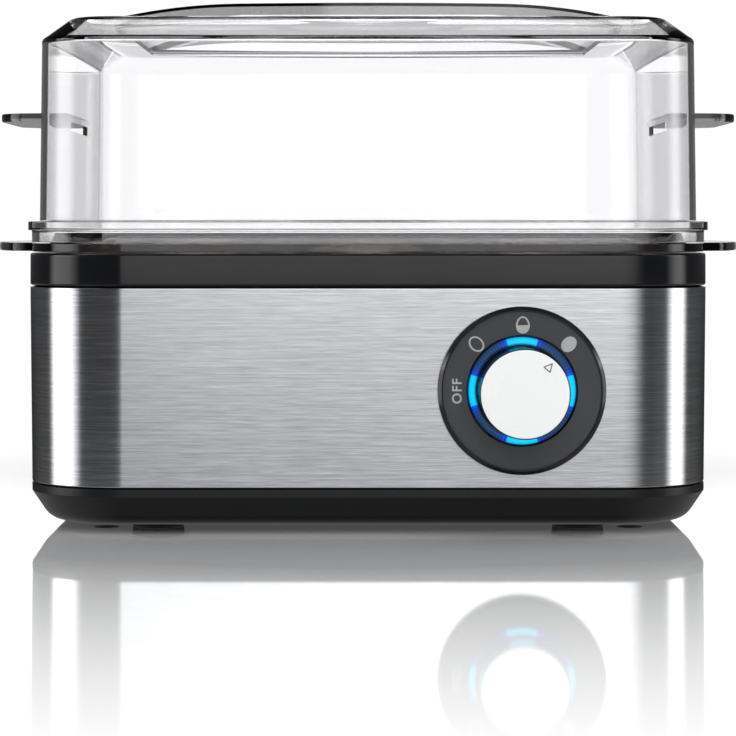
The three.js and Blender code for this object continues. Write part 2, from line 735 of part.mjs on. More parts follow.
const bushRadius = shaftRadius + gap + bush.wall;
const switchBody = join(
  box(
    -switchBox.width / 2,
    -switchBox.width / 2,
    switchFront - switchBox.depth,
    switchBox.width,
    switchBox.width,
    switchBox.depth,
  ),
  roundBar(bushRadius, switchFront - switchBox.depth / 2, switchFront + bush.length, 20),
);
const switchBore = roundBar(shaftRadius + gap, shaftBack - gap, switchFront + bush.length + overrun, 16);
onFront("rotary_switch", cut(switchBody, switchBore), blackSatin);
const nut = cut(
  roundBar(switchBox.nut / 2, boardFront + gap, boardFront + gap + switchBox.nutThickness, 6),
  roundBar(bushRadius + gap, boardFront, boardFront + gap + switchBox.nutThickness + overrun, 16),
);
onFront("switch_nut", nut, zincSteel);

// Board with its lights, buzzer and relay

const boardPlate = cut(
  box(-board.width / 2, -board.height / 2, boardBack, board.width, board.height, board.thickness),
  roundBar(bushRadius + bush.clearance, boardBack - overrun, boardFront + overrun, 20),
);
onFront("control_board", boardPlate, circuitGreen);
["right", "top", "left", "bottom"].forEach((side, i) => {
  const angle = (i * 2 * Math.PI) / led.count;
  const block = box(-led.width / 2, -led.width / 2, 0, led.width, led.width, led.height);
  const place = [led.ringRadius * Math.cos(angle), led.ringRadius * Math.sin(angle), boardFront + gap];
  onFront(`led_${side}`, block, whiteDiode, place);
});
const buzzerBody = cut(
  roundBar(buzzer.diameter / 2, -buzzer.depth, 0, 20),
  roundBar(buzzer.soundHole / 2, -buzzer.depth - overrun, -buzzer.depth / 2, 10),
);
onFront("buzzer", buzzerBody, blackSatin, [
  buzzer.fromEdge - board.width / 2,
  buzzer.aboveEdge - board.height / 2,
  boardBack - gap,
]);
onFront("relay", box(
  board.width / 2 - relay.fromEdge - relay.width / 2,
  relay.aboveEdge - board.height / 2 - relay.height / 2,
  boardBack - gap - relay.depth,
  relay.width,
  relay.height,
  relay.depth,
), relayBlue);

// Terminal block on the base's floor

const blockX = -terminal.fromCentre;
const blockY = half - terminal.fromRear;
const blockLow = foot.standing + base.floor + gap;
const poleX = (i) => (i - (pole.count - 1) / 2) * (terminal.width / pole.count);
const poleHoles = [];
for (let i = 0; i < pole.count; i += 1) {
  const hole = roundBar(pole.diameter / 2, terminal.height - pole.depth, terminal.height + overrun, 10);
  poleHoles.push(moved(hole, poleX(i), 0, 0));
}
const blockBody = box(
  -terminal.width / 2,
  -terminal.depth / 2,
  0,
  terminal.width,
  terminal.depth,
  terminal.height,
);
add("terminal_block", cut(blockBody, ...poleHoles), paleCeramic, [blockX, blockY, blockLow]);

// Cord bushing in the rear of the sleeve

const bushing = new THREE.Group();
bushing.position.set(0, half, sleeveBottom + glandLevel);
bushing.rotation.x = -Math.PI / 2;
boiler.add(bushing);
const glandProfile = [
  [gland.bore / 2, wallInside - gland.flangeThickness],
  [glandNeck + gland.flange, wallInside - gland.flangeThickness],
  [glandNeck + gland.flange, wallInside],
  [glandNeck, wallInside],
  [glandNeck, gap],
  [glandNeck + gland.flange, gap],
  [glandNeck + gland.flange, gap + gland.flangeThickness],
  [glandNeck, gap + gland.nose],
  [gland.bore / 2, gap + gland.nose],
];
add("cord_gland", turned(glandProfile, 16), rubber, [0, 0, 0], bushing);

// Inner wires: each leaves one terminal along a direction and meets the next along another

const up = new THREE.Vector3(0, 0, 1);
const down = new THREE.Vector3(0, 0, -1);
const left = new THREE.Vector3(-1, 0, 0);
const right = new THREE.Vector3(1, 0, 0);
const inward = new THREE.Vector3(0, 1, 0);
const poleTop = (i) => new THREE.Vector3(
  blockX + poleX(i),
  blockY,
  blockLow + terminal.height - pole.depth + gap,
);
const bladeEnd = (side) => new THREE.Vector3(0, side * bladeOffset, shieldBottom - thermostat.blade - gap);
const fuseEnd = (side) => new THREE.Vector3(
  fuseX + side * (fuse.length / 2 + gap),
  0,
  fuseLevel,
);
const legEnd = (side) => new THREE.Vector3(side * legX, legY, elementEnd - gap);
const boardPad = new THREE.Vector3(
  dialX - board.width / 2 + buzzer.fromEdge,
  -half - boardBack + gap,
  dialLevel - board.height / 2 + buzzer.fromEdge,
);
function wire(name, from, fromWay, to, toWay, color) {
  const span = from.distanceTo(to) * wireBowShare + wireSize.lead;
  const curve = new THREE.CubicBezierCurve3(
    from,
    from.clone().addScaledVector(fromWay, span),
    to.clone().addScaledVector(toWay, span),
    to,
  );
  add(name, tube(curve, wireSize.diameter, 6, 14), finish(color, 0.5, 0));
}
wire("wire_block_fuse", poleTop(0), up, fuseEnd(-1), left, 0x8a4b2a);
wire("wire_fuse_thermostat", fuseEnd(1), right, bladeEnd(-1), down, 0x8a4b2a);
wire("wire_thermostat_element", bladeEnd(1), down, legEnd(1), down, 0x8a4b2a);
wire("wire_element_block", legEnd(-1), down, poleTop(2), up, 0x2a5fae);
wire("wire_block_board", poleTop(1), up, boardPad, inward, 0x202224);

// Egg tray: flange with side tabs, raised deck, a ring of seats round a middle one, steam holes

const deckOuter = tray.edgeInset + tray.deckInset;
const deckTop = tray.flange + tray.deckRise;
const deckUnder = deckTop - tray.plate;
const trayProfile = [
  [deckOuter + tray.deckSlope + tray.plate, deckUnder],
  [deckOuter + tray.plate, 0],
  [tray.edgeInset, 0],
  [tray.edgeInset, tray.flange],
  [deckOuter, tray.flange],
  [deckOuter + tray.deckSlope, deckTop],
];
// The arc of a tab's edge passes its middle at full reach and its two corners
const tabReach = half + tab.overhang;
const tabCorner = half + tab.cornerOverhang;
const tabSag = tab.overhang - tab.cornerOverhang;
const tabRadius = (tab.halfLength ** 2 + tabSag ** 2) / (2 * tabSag);
const tabAngle = Math.asin(tab.halfLength / tabRadius);
const tabRoot = half - tray.edgeInset - tray.deckInset / 2;
function tabOutline() {
  const shape = new THREE.Shape();
  shape.moveTo(tabRoot, -tab.halfLength - tab.corner);
  shape.lineTo(tabCorner - tab.corner, -tab.halfLength - tab.corner / 2);
  shape.quadraticCurveTo(tabCorner, -tab.halfLength - tab.corner / 4, tabCorner, -tab.halfLength);
  shape.absarc(tabReach - tabRadius, 0, tabRadius, -tabAngle, tabAngle, false);
  shape.quadraticCurveTo(
    tabCorner,
    tab.halfLength + tab.corner / 4,
    tabCorner - tab.corner,
    tab.halfLength + tab.corner / 2,
  );
  shape.lineTo(tabRoot, tab.halfLength + tab.corner);
  return shape;
}
const rightTab = raised(tabOutline(), 0, tray.flange, 12);
const leftTab = rightTab.clone();
leftTab.rotateZ(Math.PI);
// As many seats as fit in the ring, the first at the front, and one in the middle if there is room for it
const seatPitch = seat.diameter + 2 * seat.wall;
const seatRing = dishRadius - seat.fromDishWall;
const steamRing = seatRing - steamHole.fromSeatRing;
const seatCount = Math.floor(Math.PI / Math.asin(seatPitch / 2 / seatRing));
const seatPlaces = seatRing > seatPitch ? [[0, 0]] : [];
const steamPlaces = [];
for (let i = 0; i < seatCount; i += 1) {
  const angle = (i * 2 * Math.PI) / seatCount - Math.PI / 2;
  const between = angle + Math.PI / seatCount;
  seatPlaces.push([seatRing * Math.cos(angle), seatRing * Math.sin(angle)]);
  steamPlaces.push([steamRing * Math.cos(between), steamRing * Math.sin(between)]);
}
const seatLow = deckTop - seat.depth;
const seatRadius = seat.diameter / 2;
const seatLowRadius = seatRadius - seat.narrowing;
const seatOuter = turned([
  [0, seatLow],
  [seatLowRadius + seat.wall, seatLow],
  [seatRadius + seat.wall, deckTop - tray.plate / 2],
  [0, deckTop - tray.plate / 2],
], 20);
const seatSlope = seat.narrowing / seat.depth;
const seatHole = turned([
  [0, seatLow - overrun],
  [seatLowRadius - seatSlope * overrun, seatLow - overrun],
  [seatRadius + seatSlope * overrun, deckTop + overrun],
  [0, deckTop + overrun],
], 20);
const steamHoles = steamPlaces.map(([x, y]) =>
  moved(roundBar(steamHole.diameter / 2, deckUnder - overrun, deckTop + overrun, 8), x, y, 0));
const frontNotch = box(
  -notch.width / 2,
  -half + tray.edgeInset - overrun,
  -overrun,
  notch.width,
  notch.depth + overrun,
  tray.flange + 2 * overrun,
);
const trayPlate = squareTurned(half, body.cornerRadius, trayProfile, true);
const seatCups = seatPlaces.map(([x, y]) => moved(seatOuter, x, y, 0));
const seatHoles = seatPlaces.map(([x, y]) => moved(seatHole, x, y, 0));
const eggTray = cut(
  join(trayPlate, rightTab, leftTab, ...seatCups),
  ...seatHoles,
  ...steamHoles,
  frontNotch,
);
add("egg_tray", eggTray, smokedPlastic, [0, 0, trayBottom]);

// Lid: skirt and lip on the tray's flange, upright walls, chamfered top, raised panel, wings with slots

const wallTopInset = lidWall.inset + lidWall.draft;
const lipLow = skirt.height;
const lipTop = skirt.height + skirt.lip;
const lidTop = lid.height;
const chamferLow = lid.height - chamfer.height;
const innerTop = lidTop - lid.topWall;
const lidProfile = [
  [wallTopInset + chamfer.width + lid.wall / 2, innerTop],
  [wallTopInset + lid.wall, chamferLow - lid.wall / 2],
  [lidWall.inset + lid.wall, lipTop - skirt.wall],
  [skirt.inset + skirt.wall, lipTop - skirt.wall - skirt.lipEdge],
  [skirt.inset + skirt.wall, 0],
  [skirt.inset, 0],
  [skirt.inset, lipLow],
  [0, lipLow],
  [0, lipTop - skirt.lipEdge],
  [skirt.lipEdge, lipTop],
  [lidWall.inset, lipTop],
  [wallTopInset, chamferLow],
  [wallTopInset + chamfer.width, lidTop],
];
const lidHalf = half - lid.inset;
const lidShell = squareTurned(lidHalf, lid.cornerRadius, lidProfile, true);
// The raised panel: shoulders that curve down to the sides, front and back edges that bow out in the middle
const humpHalf = lidHalf - hump.fromSide;
const humpFlat = humpHalf - hump.shoulder;
function panelPlan(inset) {
  const middle = lidHalf - hump.fromFront - inset;
  const [side, corner] = [humpHalf - inset, middle - hump.bow];
  const shape = new THREE.Shape();
  shape.moveTo(-side, -corner);
  shape.quadraticCurveTo(0, corner - 2 * middle, side, -corner);
  shape.lineTo(side, corner);
  shape.quadraticCurveTo(0, 2 * middle - corner, -side, corner);
  return shape;
}
function panelSection(low, inset) {
  const shoulderSteps = 5;
  const section = new THREE.Shape();
  section.moveTo(-humpHalf - overrun, low);
  section.lineTo(humpHalf + overrun, low);
  section.lineTo(humpHalf + overrun, lidTop - inset);
  const shoulder = [];
  for (let step = shoulderSteps; step >= 0; step -= 1) {
    const share = step / shoulderSteps;
    shoulder.push([humpFlat + hump.shoulder * share, lidTop + hump.height * (1 - share ** 2) - inset]);
  }
  shoulder.forEach(([x, z]) => section.lineTo(x, z));
  shoulder.reverse().forEach(([x, z]) => section.lineTo(-x, z));
  section.lineTo(-humpHalf - overrun, lidTop - inset);
  const across = raised(section, -half, half);
  across.rotateX(Math.PI / 2);
  return across;
}
const panel = common(
  raised(panelPlan(0), innerTop, lidTop + hump.height + overrun, 12),
  panelSection(innerTop + lid.topWall / 2, 0),
);
const panelHollow = common(
  raised(panelPlan(hump.wall), innerTop - overrun, lidTop + hump.height + overrun, 12),
  panelSection(innerTop - overrun, hump.wall),
);
const wallFace = lidHalf - lidWall.inset - lidWall.draft - lid.wall / 2;
const wingReach = lidHalf + wing.overhang;
const wingOutline = outline([
  [wallFace, -wing.rootLength / 2],
  [wingReach - wing.corner, -wing.tipLength / 2 - wing.corner],
  [wingReach - wing.corner / 4, -wing.tipLength / 2 - wing.corner / 4],
  [wingReach, -wing.tipLength / 2],
  [wingReach, wing.tipLength / 2],
  [wingReach - wing.corner / 4, wing.tipLength / 2 + wing.corner / 4],
  [wingReach - wing.corner, wing.tipLength / 2 + wing.corner],
  [wallFace, wing.rootLength / 2],
]);
const rightWing = raised(wingOutline, wing.height, wing.height + wing.thickness);
const leftWing = rightWing.clone();
leftWing.rotateZ(Math.PI);
const slots = box(
  -lidHalf - overrun,
  -slot.length / 2,
  wing.height - slot.height,
  2 * (lidHalf + overrun),
  slot.length,
  slot.height,
);
const lidSolid = cut(join(lidShell, panel, rightWing, leftWing), panelHollow, slots);
add("lid", lidSolid, smokedPlastic, [0, 0, lidBottom]);

// The origin lies under the middle of the whole boiler, knob and bushing included

const frontReach = half + capFront;
const rearReach = half + gap + gland.nose;
boiler.position.y = (frontReach - rearReach) / 2;

const group = new THREE.Group();
group.add(boiler);
export default group;
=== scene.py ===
import math

import bmesh
import bpy
from mathutils import Matrix, Vector


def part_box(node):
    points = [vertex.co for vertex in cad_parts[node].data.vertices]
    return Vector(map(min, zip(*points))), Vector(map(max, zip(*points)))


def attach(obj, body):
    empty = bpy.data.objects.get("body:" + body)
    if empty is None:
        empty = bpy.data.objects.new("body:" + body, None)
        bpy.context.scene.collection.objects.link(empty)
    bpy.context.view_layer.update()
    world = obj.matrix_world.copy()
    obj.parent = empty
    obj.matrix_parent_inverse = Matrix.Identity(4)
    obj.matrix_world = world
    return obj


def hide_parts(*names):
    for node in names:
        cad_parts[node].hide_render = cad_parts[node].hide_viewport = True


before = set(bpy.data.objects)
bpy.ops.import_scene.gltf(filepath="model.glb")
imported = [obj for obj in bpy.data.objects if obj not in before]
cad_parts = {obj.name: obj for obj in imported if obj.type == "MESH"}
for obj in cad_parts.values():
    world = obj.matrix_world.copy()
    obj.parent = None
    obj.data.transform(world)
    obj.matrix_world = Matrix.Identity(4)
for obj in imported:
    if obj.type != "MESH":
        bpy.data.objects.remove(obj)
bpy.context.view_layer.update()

MM = 0.001

# Where things are, taken from the frame

collar_low, collar_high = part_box("collar")
sleeve_low, sleeve_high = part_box("steel_sleeve")
foot_low, foot_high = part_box("foot_front_right")
tray_low, tray_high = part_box("egg_tray")
lid_low, lid_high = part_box("lid")
bezel_low, bezel_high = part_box("dial_bezel")
guide_low, guide_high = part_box("light_guide")
knob_low, knob_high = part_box("knob_body")
cap_low, cap_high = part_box("knob_cap")
gland_low, gland_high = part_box("cord_gland")
base_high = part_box("base_pan")[1]
dish_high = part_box("water_dish")[1]

HALF = (sleeve_high.x - sleeve_low.x) / 2
MIDDLE_Y = (sleeve_low.y + sleeve_high.y) / 2
FRONT_Y = sleeve_low.y
REAR_Y = sleeve_high.y
CENTRE = Vector((0, MIDDLE_Y, 0))
DIAL = Vector(((bezel_low.x + bezel_high.x) / 2, FRONT_Y, (bezel_low.z + bezel_high.z) / 2))
BUSHING = Vector(((gland_low.x + gland_high.x) / 2, REAR_Y, (gland_low.z + gland_high.z) / 2))
FOOT_X = (foot_low.x + foot_high.x) / 2
FOOT_Y = MIDDLE_Y - (foot_low.y + foot_high.y) / 2

# Sizes that several pieces share

CORNER = 25 * MM  # the housing's corners, seen from above
TAPER = 0.5 * MM  # how far the steel is drawn in at its lower edge
GAP = 0.3 * MM
SPIGOT = 1.6 * MM  # how far inside the housing's outline the collar and the base enter the steel
SPIGOT_WALL = 2.2 * MM
SEAM = sleeve_low.z - 0.3 * MM  # the steel's lower edge, a little below the solid's
SCREW_X, SCREW_Y = 66 * MM, 50 * MM  # the base's screws, to the side and to the front of the middle
SEATS_AROUND = 7
PANEL_SIDE = 63.6 * MM  # half the width of the lid's raised panel
PANEL_RISE = 3.2 * MM
WING_TIP = 22 * MM  # half the length of a wing's straight tip, and of the slot under it
GUIDE_INNER, GUIDE_OUTER = 11 * MM, 13 * MM
DIODES = 4
RIBS = 96

# The camera first: level, on the middle line, a little above the worktop

PHOTO = 736  # the photograph's width and height, in pixels
FOCAL = 2764  # the photograph's focal length, in its pixels
HORIZON = 220  # the row of the photograph that is at the camera's height
CAMERA_AWAY = 664 * MM  # in front of the steel
CAMERA_UP = 75.7 * MM
SENSOR = 36
camera_data = bpy.data.cameras.new("camera")
camera_data.sensor_width = SENSOR
camera_data.lens = FOCAL / PHOTO * SENSOR
camera_data.shift_y = (HORIZON - PHOTO / 2) / PHOTO
camera_data.clip_start = 0.01
camera = bpy.data.objects.new("camera", camera_data)
camera.location = (0, FRONT_Y - CAMERA_AWAY, CAMERA_UP)
camera.rotation_euler = (math.pi / 2, 0, 0)
bpy.context.scene.collection.objects.link(camera)
bpy.context.scene.camera = camera
bpy.context.scene.view_settings.view_transform = "Standard"

# Colours and nodes


def linear(text):
    """An sRGB hex colour as the linear colour that a socket holds."""
    values = [int(text[i:i + 2], 16) / 255 for i in (1, 3, 5)]
    return [v / 12.92 if v <= 0.04045 else ((v + 0.055) / 1.055) ** 2.4 for v in values] + [1]


def connect(tree, node, links):
    """Sets a node's inputs; a socket is linked, and a node is linked by its first output."""
    for name, value in links.items():
        if isinstance(value, bpy.types.Node):
            value = value.outputs[0]
        if isinstance(value, bpy.types.NodeSocket):
            tree.links.new(value, node.inputs[name])
        else:
            node.inputs[name].default_value = value


def add_node(tree, kind, links=None, stops=(), **settings):
    """Adds a node with its settings, its inputs and, on a colour ramp, its (position, colour) stops."""
    node = tree.nodes.new(kind)
    for name, value in settings.items():
        setattr(node, name, value)
    connect(tree, node, links or {})
    if stops:
        elements = node.color_ramp.elements
        while len(elements) < len(stops):
            elements.new(0.5)
        for element, (position, colour) in zip(elements, stops):
            element.position = position
            element.color = colour
    return node


def new_material(name, **shader):
    """A material with one shader, whose inputs are given with _ for a space."""
    material = bpy.data.materials.new(name)
    material.use_nodes = True
    tree = material.node_tree
    tree.nodes.clear()
    inputs = {key.replace("_", " "): value for key, value in shader.items()}
    surface = add_node(tree, "ShaderNodeBsdfPrincipled", inputs)
    output = add_node(tree, "ShaderNodeOutputMaterial", {"Surface": surface})
    return material, tree, surface, output


def grain(tree, size, detail=2, stretch=(1, 1, 1), source="Object"):
    """Noise with grains of a real size; stretch makes them longer along an axis."""
    places = add_node(tree, "ShaderNodeTexCoord").outputs[source]
    scale = [1 / (size * s) for s in stretch]
    mapped = add_node(tree, "ShaderNodeMapping", {"Vector": places, "Scale": scale})
    return add_node(tree, "ShaderNodeTexNoise", {"Vector": mapped, "Scale": 1.0, "Detail": detail})


def dress(tree, surface, pattern, shades, rough=None, depth=None):
    """Colour, and roughness and relief where they are given, all from one pattern of 0 to 1."""
    stops = [(position, linear(colour)) for position, colour in shades]
    connect(tree, surface, {"Base Color": add_node(tree, "ShaderNodeValToRGB", {"Fac": pattern}, stops)})
    if rough:
        limits = {"Value": pattern, "To Min": rough[0], "To Max": rough[1]}
        connect(tree, surface, {"Roughness": add_node(tree, "ShaderNodeMapRange", limits)})
    if depth:
        bump = add_node(tree, "ShaderNodeBump", {"Height": pattern, "Distance": depth, "Strength": 1.0})
        connect(tree, surface, {"Normal": bump})


def grained(name, size, dark, light, rough=None, depth=None, detail=2, edges=(0.3, 0.7), **shader):
    """A material that one grain colours, from dark to light, between two values of its noise."""
    material, tree, surface, _ = new_material(name, **shader)
    dress(tree, surface, grain(tree, size, detail), zip(edges, (dark, light)), rough, depth)
    return material


def from_dial_axis(tree):
    """How far to the right of, above and away from the dial's axis a place is."""
    places = add_node(tree, "ShaderNodeTexCoord").outputs["Object"]
    centred = add_node(tree, "ShaderNodeVectorMath", {0: places, 1: DIAL}, operation="SUBTRACT")
    flat = add_node(tree, "ShaderNodeVectorMath", {0: centred, 1: (1, 0, 1)}, operation="MULTIPLY")
    right, _, up = add_node(tree, "ShaderNodeSeparateXYZ", {"Vector": flat}).outputs
    away = add_node(tree, "ShaderNodeVectorMath", {0: flat}, operation="LENGTH").outputs["Value"]
    return right, up, away


# Materials


def smoked_styrene(name, tint, density):
    # Styrene-acrylonitrile, moulded and polished: clear, smoke-tinted, dark where it is seen edge-on
    material, tree, _, output = new_material(
        name,
        Base_Color=linear("#fdfdfe"),
        Roughness=0.0,
        IOR=1.5,
        Transmission_Weight=1.0,
    )
    absorb = add_node(tree, "ShaderNodeVolumeAbsorption", {"Color": linear(tint), "Density": density})
    connect(tree, output, {"Volume": absorb})
    return material


def brushed_stainless():
    # Stainless steel, belt-brushed level round the housing: fine scratches, reflections drawn out upwards
    material, tree, surface, _ = new_material(
        "brushed_stainless_steel",
        Metallic=1.0,
        Anisotropic=0.7,
        Anisotropic_Rotation=0.25,
    )
    fine = grain(tree, 0.22 * MM, stretch=(30, 1, 1), source="UV")
    broad = grain(tree, 0.6 * MM, detail=3, stretch=(40, 1, 1), source="UV")
    both = add_node(tree, "ShaderNodeMix", {"Factor": 0.5, "A": fine, "B": broad}, data_type="FLOAT")
    shades = [(0.32, "#b9bbbe"), (0.5, "#ccced1"), (0.68, "#e0e1e3")]
    dress(tree, surface, both, shades, rough=(0.14, 0.24), depth=0.002 * MM)
    along = add_node(tree, "ShaderNodeTangent", direction_type="UV_MAP", uv_map="run")
    connect(tree, surface, {"Tangent": along})
    return material


def gloss_black():
    # ABS, moulded in a polished tool: deep black-grey with a soft gloss and a faint waviness
    return grained("gloss_black_abs", 9 * MM, "#111214", "#161719", depth=0.01 * MM, edges=(0.35, 0.7),
                   Roughness=0.1, IOR=1.41)


def satin_black():
    # Polypropylene, moulded in a spark-eroded tool: black, satin, with a fine even grain
    return grained("satin_black_polypropylene", 0.5 * MM, "#0e0f10", "#131416", rough=(0.32, 0.44),
                   depth=0.01 * MM, IOR=1.4, Specular_IOR_Level=0.5)


def dial_matt():
    # ABS with a matt lacquer: even dark grey behind the symbols
    return grained("matt_grey_lacquer", 0.25 * MM, "#37383b", "#3f4043", rough=(0.5, 0.62), depth=0.004 * MM,
                   IOR=1.5)


def symbol_ink():
    # Pad-printed ink: pale grey and dry
    return grained("pale_grey_pad_print", 0.2 * MM, "#a3a5a7", "#b0b2b4", detail=1, Roughness=0.6)


def pointer_ink():
    # Pad-printed ink: dark grey line on the knob's face
    return grained("dark_grey_pad_print", 0.2 * MM, "#3e4043", "#4a4c4f", detail=1, Roughness=0.6)


def lit_guide():
    # Polycarbonate light guide, lit from behind by four blue diodes: bright over each, deep blue between
    material, tree, surface, _ = new_material(
        "blue_lit_polycarbonate",
        Base_Color=linear("#081638"),
        Roughness=0.15,
        IOR=1.58,
        Specular_IOR_Level=0.15,
        Emission_Strength=0.95,
    )
    right, up, away = from_dial_axis(tree)
    angle = add_node(tree, "ShaderNodeMath", {0: up, 1: right}, operation="ARCTAN2")
    turn = add_node(tree, "ShaderNodeMath", {0: angle, 1: DIODES / (2 * math.pi)}, operation="MULTIPLY")
    off_diode = add_node(tree, "ShaderNodeMath", {0: turn, 1: 0.5}, operation="PINGPONG")
    blues = [(0.0, "#00d4ff"), (0.186, "#00ccff"), (0.2, "#0a4ef0"), (0.27, "#1245a0"), (0.34, "#1e4372"),
             (0.5, "#26445e")]
    stops = [(place, linear(blue)) for place, blue in blues]
    lamp = add_node(tree, "ShaderNodeValToRGB", {"Fac": off_diode}, stops)
    # The ribs show as fine lines, apart from the bright stretches
    ribs = add_node(tree, "ShaderNodeMath", {0: angle, 1: RIBS}, operation="MULTIPLY")
    wave = add_node(tree, "ShaderNodeMath", {0: ribs}, operation="SINE")
    limits = {"Value": wave, "From Min": -1, "To Min": 0.62, "To Max": 1.1}
    lines = add_node(tree, "ShaderNodeMapRange", limits)
    deep = add_node(tree, "ShaderNodeMapRange", {"Value": off_diode, "From Min": 0.19, "From Max": 0.21})
    ribbed = add_node(tree, "ShaderNodeMix", {"Factor": deep, "A": 1, "B": lines}, data_type="FLOAT")
    # Across the ring, from its inner edge out: place, brightness, and brightness of the blue
    bands = [(0, 0.1, 0.1), (0.1, 0.3, 0.3), (0.22, 0.95, 0.95), (0.5, 1.15, 1.1), (0.78, 0.95, 0.95),
             (0.88, 0.2, 0.3), (0.94, 0.03, 0.05)]
    stops = [(place, (level, level, blue, 1)) for place, level, blue in bands]
    limits = {"Value": away, "From Min": GUIDE_INNER, "From Max": GUIDE_OUTER + 0.1 * MM}
    across = add_node(tree, "ShaderNodeMapRange", limits)
    band = add_node(tree, "ShaderNodeValToRGB", {"Fac": across}, stops)
    banded = add_node(tree, "ShaderNodeVectorMath", {0: lamp, 1: band}, operation="MULTIPLY")
    shone = add_node(tree, "ShaderNodeVectorMath", {0: banded, "Scale": ribbed}, operation="SCALE")
    connect(tree, surface, {"Emission Color": shone})
    return material


def bright_face():
    # Aluminium, turned and lacquered near white: a soft bright face with turning marks round the middle
    material, tree, surface, _ = new_material("turned_bright_aluminium", Metallic=0.15)
    away = from_dial_axis(tree)[2]
    pitch = 0.35 * MM
    turns = add_node(tree, "ShaderNodeMath", {0: away, 1: 1 / pitch}, operation="MULTIPLY")
    links = {"W": turns, "Scale": 1.0, "Detail": 2.0}
    marks = add_node(tree, "ShaderNodeTexNoise", links, noise_dimensions="1D")
    dress(tree, surface, marks, [(0.3, "#edefee"), (0.7, "#f1f2f2")], rough=(0.36, 0.4))
    return material


def chromed():
    # ABS, chrome plated: mirror-bright, a little grey
    return grained("chrome_plated_abs", 4 * MM, "#b9bcc0", "#c9ccd0", rough=(0.1, 0.16), Metallic=1.0)


def cast_coated():
    # Die-cast aluminium with a grey non-stick coat: fine orange-peel speckle
    return grained("coated_cast_aluminium", 0.4 * MM, "#77797c", "#8d8f92", rough=(0.32, 0.5),
                   depth=0.015 * MM, detail=3, Metallic=0.6)


def rubber(name, dark, light):
    # Moulded rubber or silicone: matt, with a dusty grain
    return grained(name, 0.6 * MM, dark, light, rough=(0.7, 0.88), depth=0.02 * MM, detail=3, IOR=1.45)


def plated(name, dark, light):
    # Zinc-plated or bare sheet steel: soft grey shine with a mottled crystal
    return grained(name, 2.5 * MM, dark, light, rough=(0.28, 0.48), detail=5, edges=(0.35, 0.65),
                   Metallic=1.0)


def moulded(name, dark, light, rough=0.5):
    # Small moulded piece: one colour with a fine grain
    return grained(name, 0.5 * MM, dark, light, rough=(rough - 0.06, rough + 0.06), depth=0.006 * MM, IOR=1.5)


SMOKED = smoked_styrene("pale_smoked_styrene", "#bbbcbe", 26.0)
SMOKED_WING = smoked_styrene("deep_smoked_styrene", "#bbbcbe", 48.0)
SMOKED_TRAY = smoked_styrene("dark_smoked_styrene", "#b8b3ae", 620.0)
STEEL = brushed_stainless()
BLACK_GLOSS = gloss_black()
BLACK_SATIN = satin_black()
DIAL_GREY = dial_matt()
SYMBOL_INK = symbol_ink()
POINTER_INK = pointer_ink()
LIT_BLUE = lit_guide()
BRIGHT = bright_face()
CHROME = chromed()
CAST = cast_coated()
RUBBER = rubber("black_rubber", "#0e0f10", "#18191a")
SILICONE = rubber("pale_silicone", "#b9b4aa", "#cbc6bc")
ZINC = plated("zinc_plated_steel", "#9da0a2", "#bcbfc0")
ELEMENT = plated("heat_darkened_steel", "#5f5a55", "#837c74")
BOARD = moulded("green_solder_resist", "#14532a", "#1c6a37", 0.35)
CERAMIC = moulded("pale_steatite", "#ddd8cc", "#e9e5da", 0.6)
RELAY_BLUE = moulded("blue_relay_plastic", "#244a96", "#2f5bb0", 0.4)
DIODE = moulded("white_diode_body", "#e6ebf2", "#f4f8ff", 0.3)
BROWN_JACKET = moulded("brown_wire_jacket", "#6d3a20", "#84492a")
BLUE_JACKET = moulded("blue_wire_jacket", "#20498a", "#2b5ca6")
BLACK_JACKET = moulded("black_wire_jacket", "#17181a", "#232528")

# Outlines and places


def filleted(points, radius, steps=4, closed=True):
    """A profile with its corners rounded; a point may bring its own radius as a third value."""
    result = []
    count = len(points)
    for i, (x, y, *own) in enumerate(points):
        point = Vector((x, y))
        if not closed and i in (0, count - 1):
            result.append((x, y))
            continue
        before = Vector(points[i - 1][:2]) - point
        after = Vector(points[(i + 1) % count][:2]) - point
        reach = min(own[0] if own else radius, 0.45 * before.length, 0.45 * after.length)
        start = point + before.normalized() * reach
        end = point + after.normalized() * reach
        for step in range(steps + 1):
            t = step / steps
            place = start * (1 - t) ** 2 + point * 2 * t * (1 - t) + end * t ** 2
            result.append((place.x, place.y))
    return result


def rounded_square(half, radius, steps):
    """Points round a rounded square, from its right side anticlockwise."""
    points = []
    for corner, (sx, sy) in enumerate([(1, 1), (-1, 1), (-1, -1), (1, -1)]):
        for step in range(steps + 1):
            angle = (corner + step / steps) * math.pi / 2
            x = sx * (half - radius) + radius * math.cos(angle)
            y = sy * (half - radius) + radius * math.sin(angle)
            points.append((x, y))
    return points


def rectangle(half_width, near, far):
    """A rectangle about the middle line, from one depth to another."""
    return [(-half_width, near), (half_width, near), (half_width, far), (-half_width, far)]


def corner_places(x, y):
    """Four places, alike about the housing's middle: left front, left rear, right front, right rear."""
    return [Vector((sx * x, MIDDLE_Y + sy * y, 0)) for sx in (-1, 1) for sy in (-1, 1)]


def ring_places(count, radius, first):
    """Places round the housing's middle; the first is that part of a step past the front."""
    places = []
    for i in range(count):
        angle = (i + first) * 2 * math.pi / count
        places.append(Vector((radius * math.sin(angle), MIDDLE_Y - radius * math.cos(angle), 0)))
    return places


# Mesh tools


def finish_piece(name, mesh, material, body, node=None):
    """Makes a mesh a piece that rides on a body, in the place of a CAD node where one is named."""
    mesh.materials.clear()
    mesh.materials.append(material)
    piece = bpy.data.objects.new(name, mesh)
    bpy.context.scene.collection.objects.link(piece)
    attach(piece, body)
    if node:
        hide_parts(node)


def data_from(mesh, name):
    """A mesh being built, as finished data."""
    data = bpy.data.meshes.new(name)
    mesh.to_mesh(data)
    mesh.free()
    return data


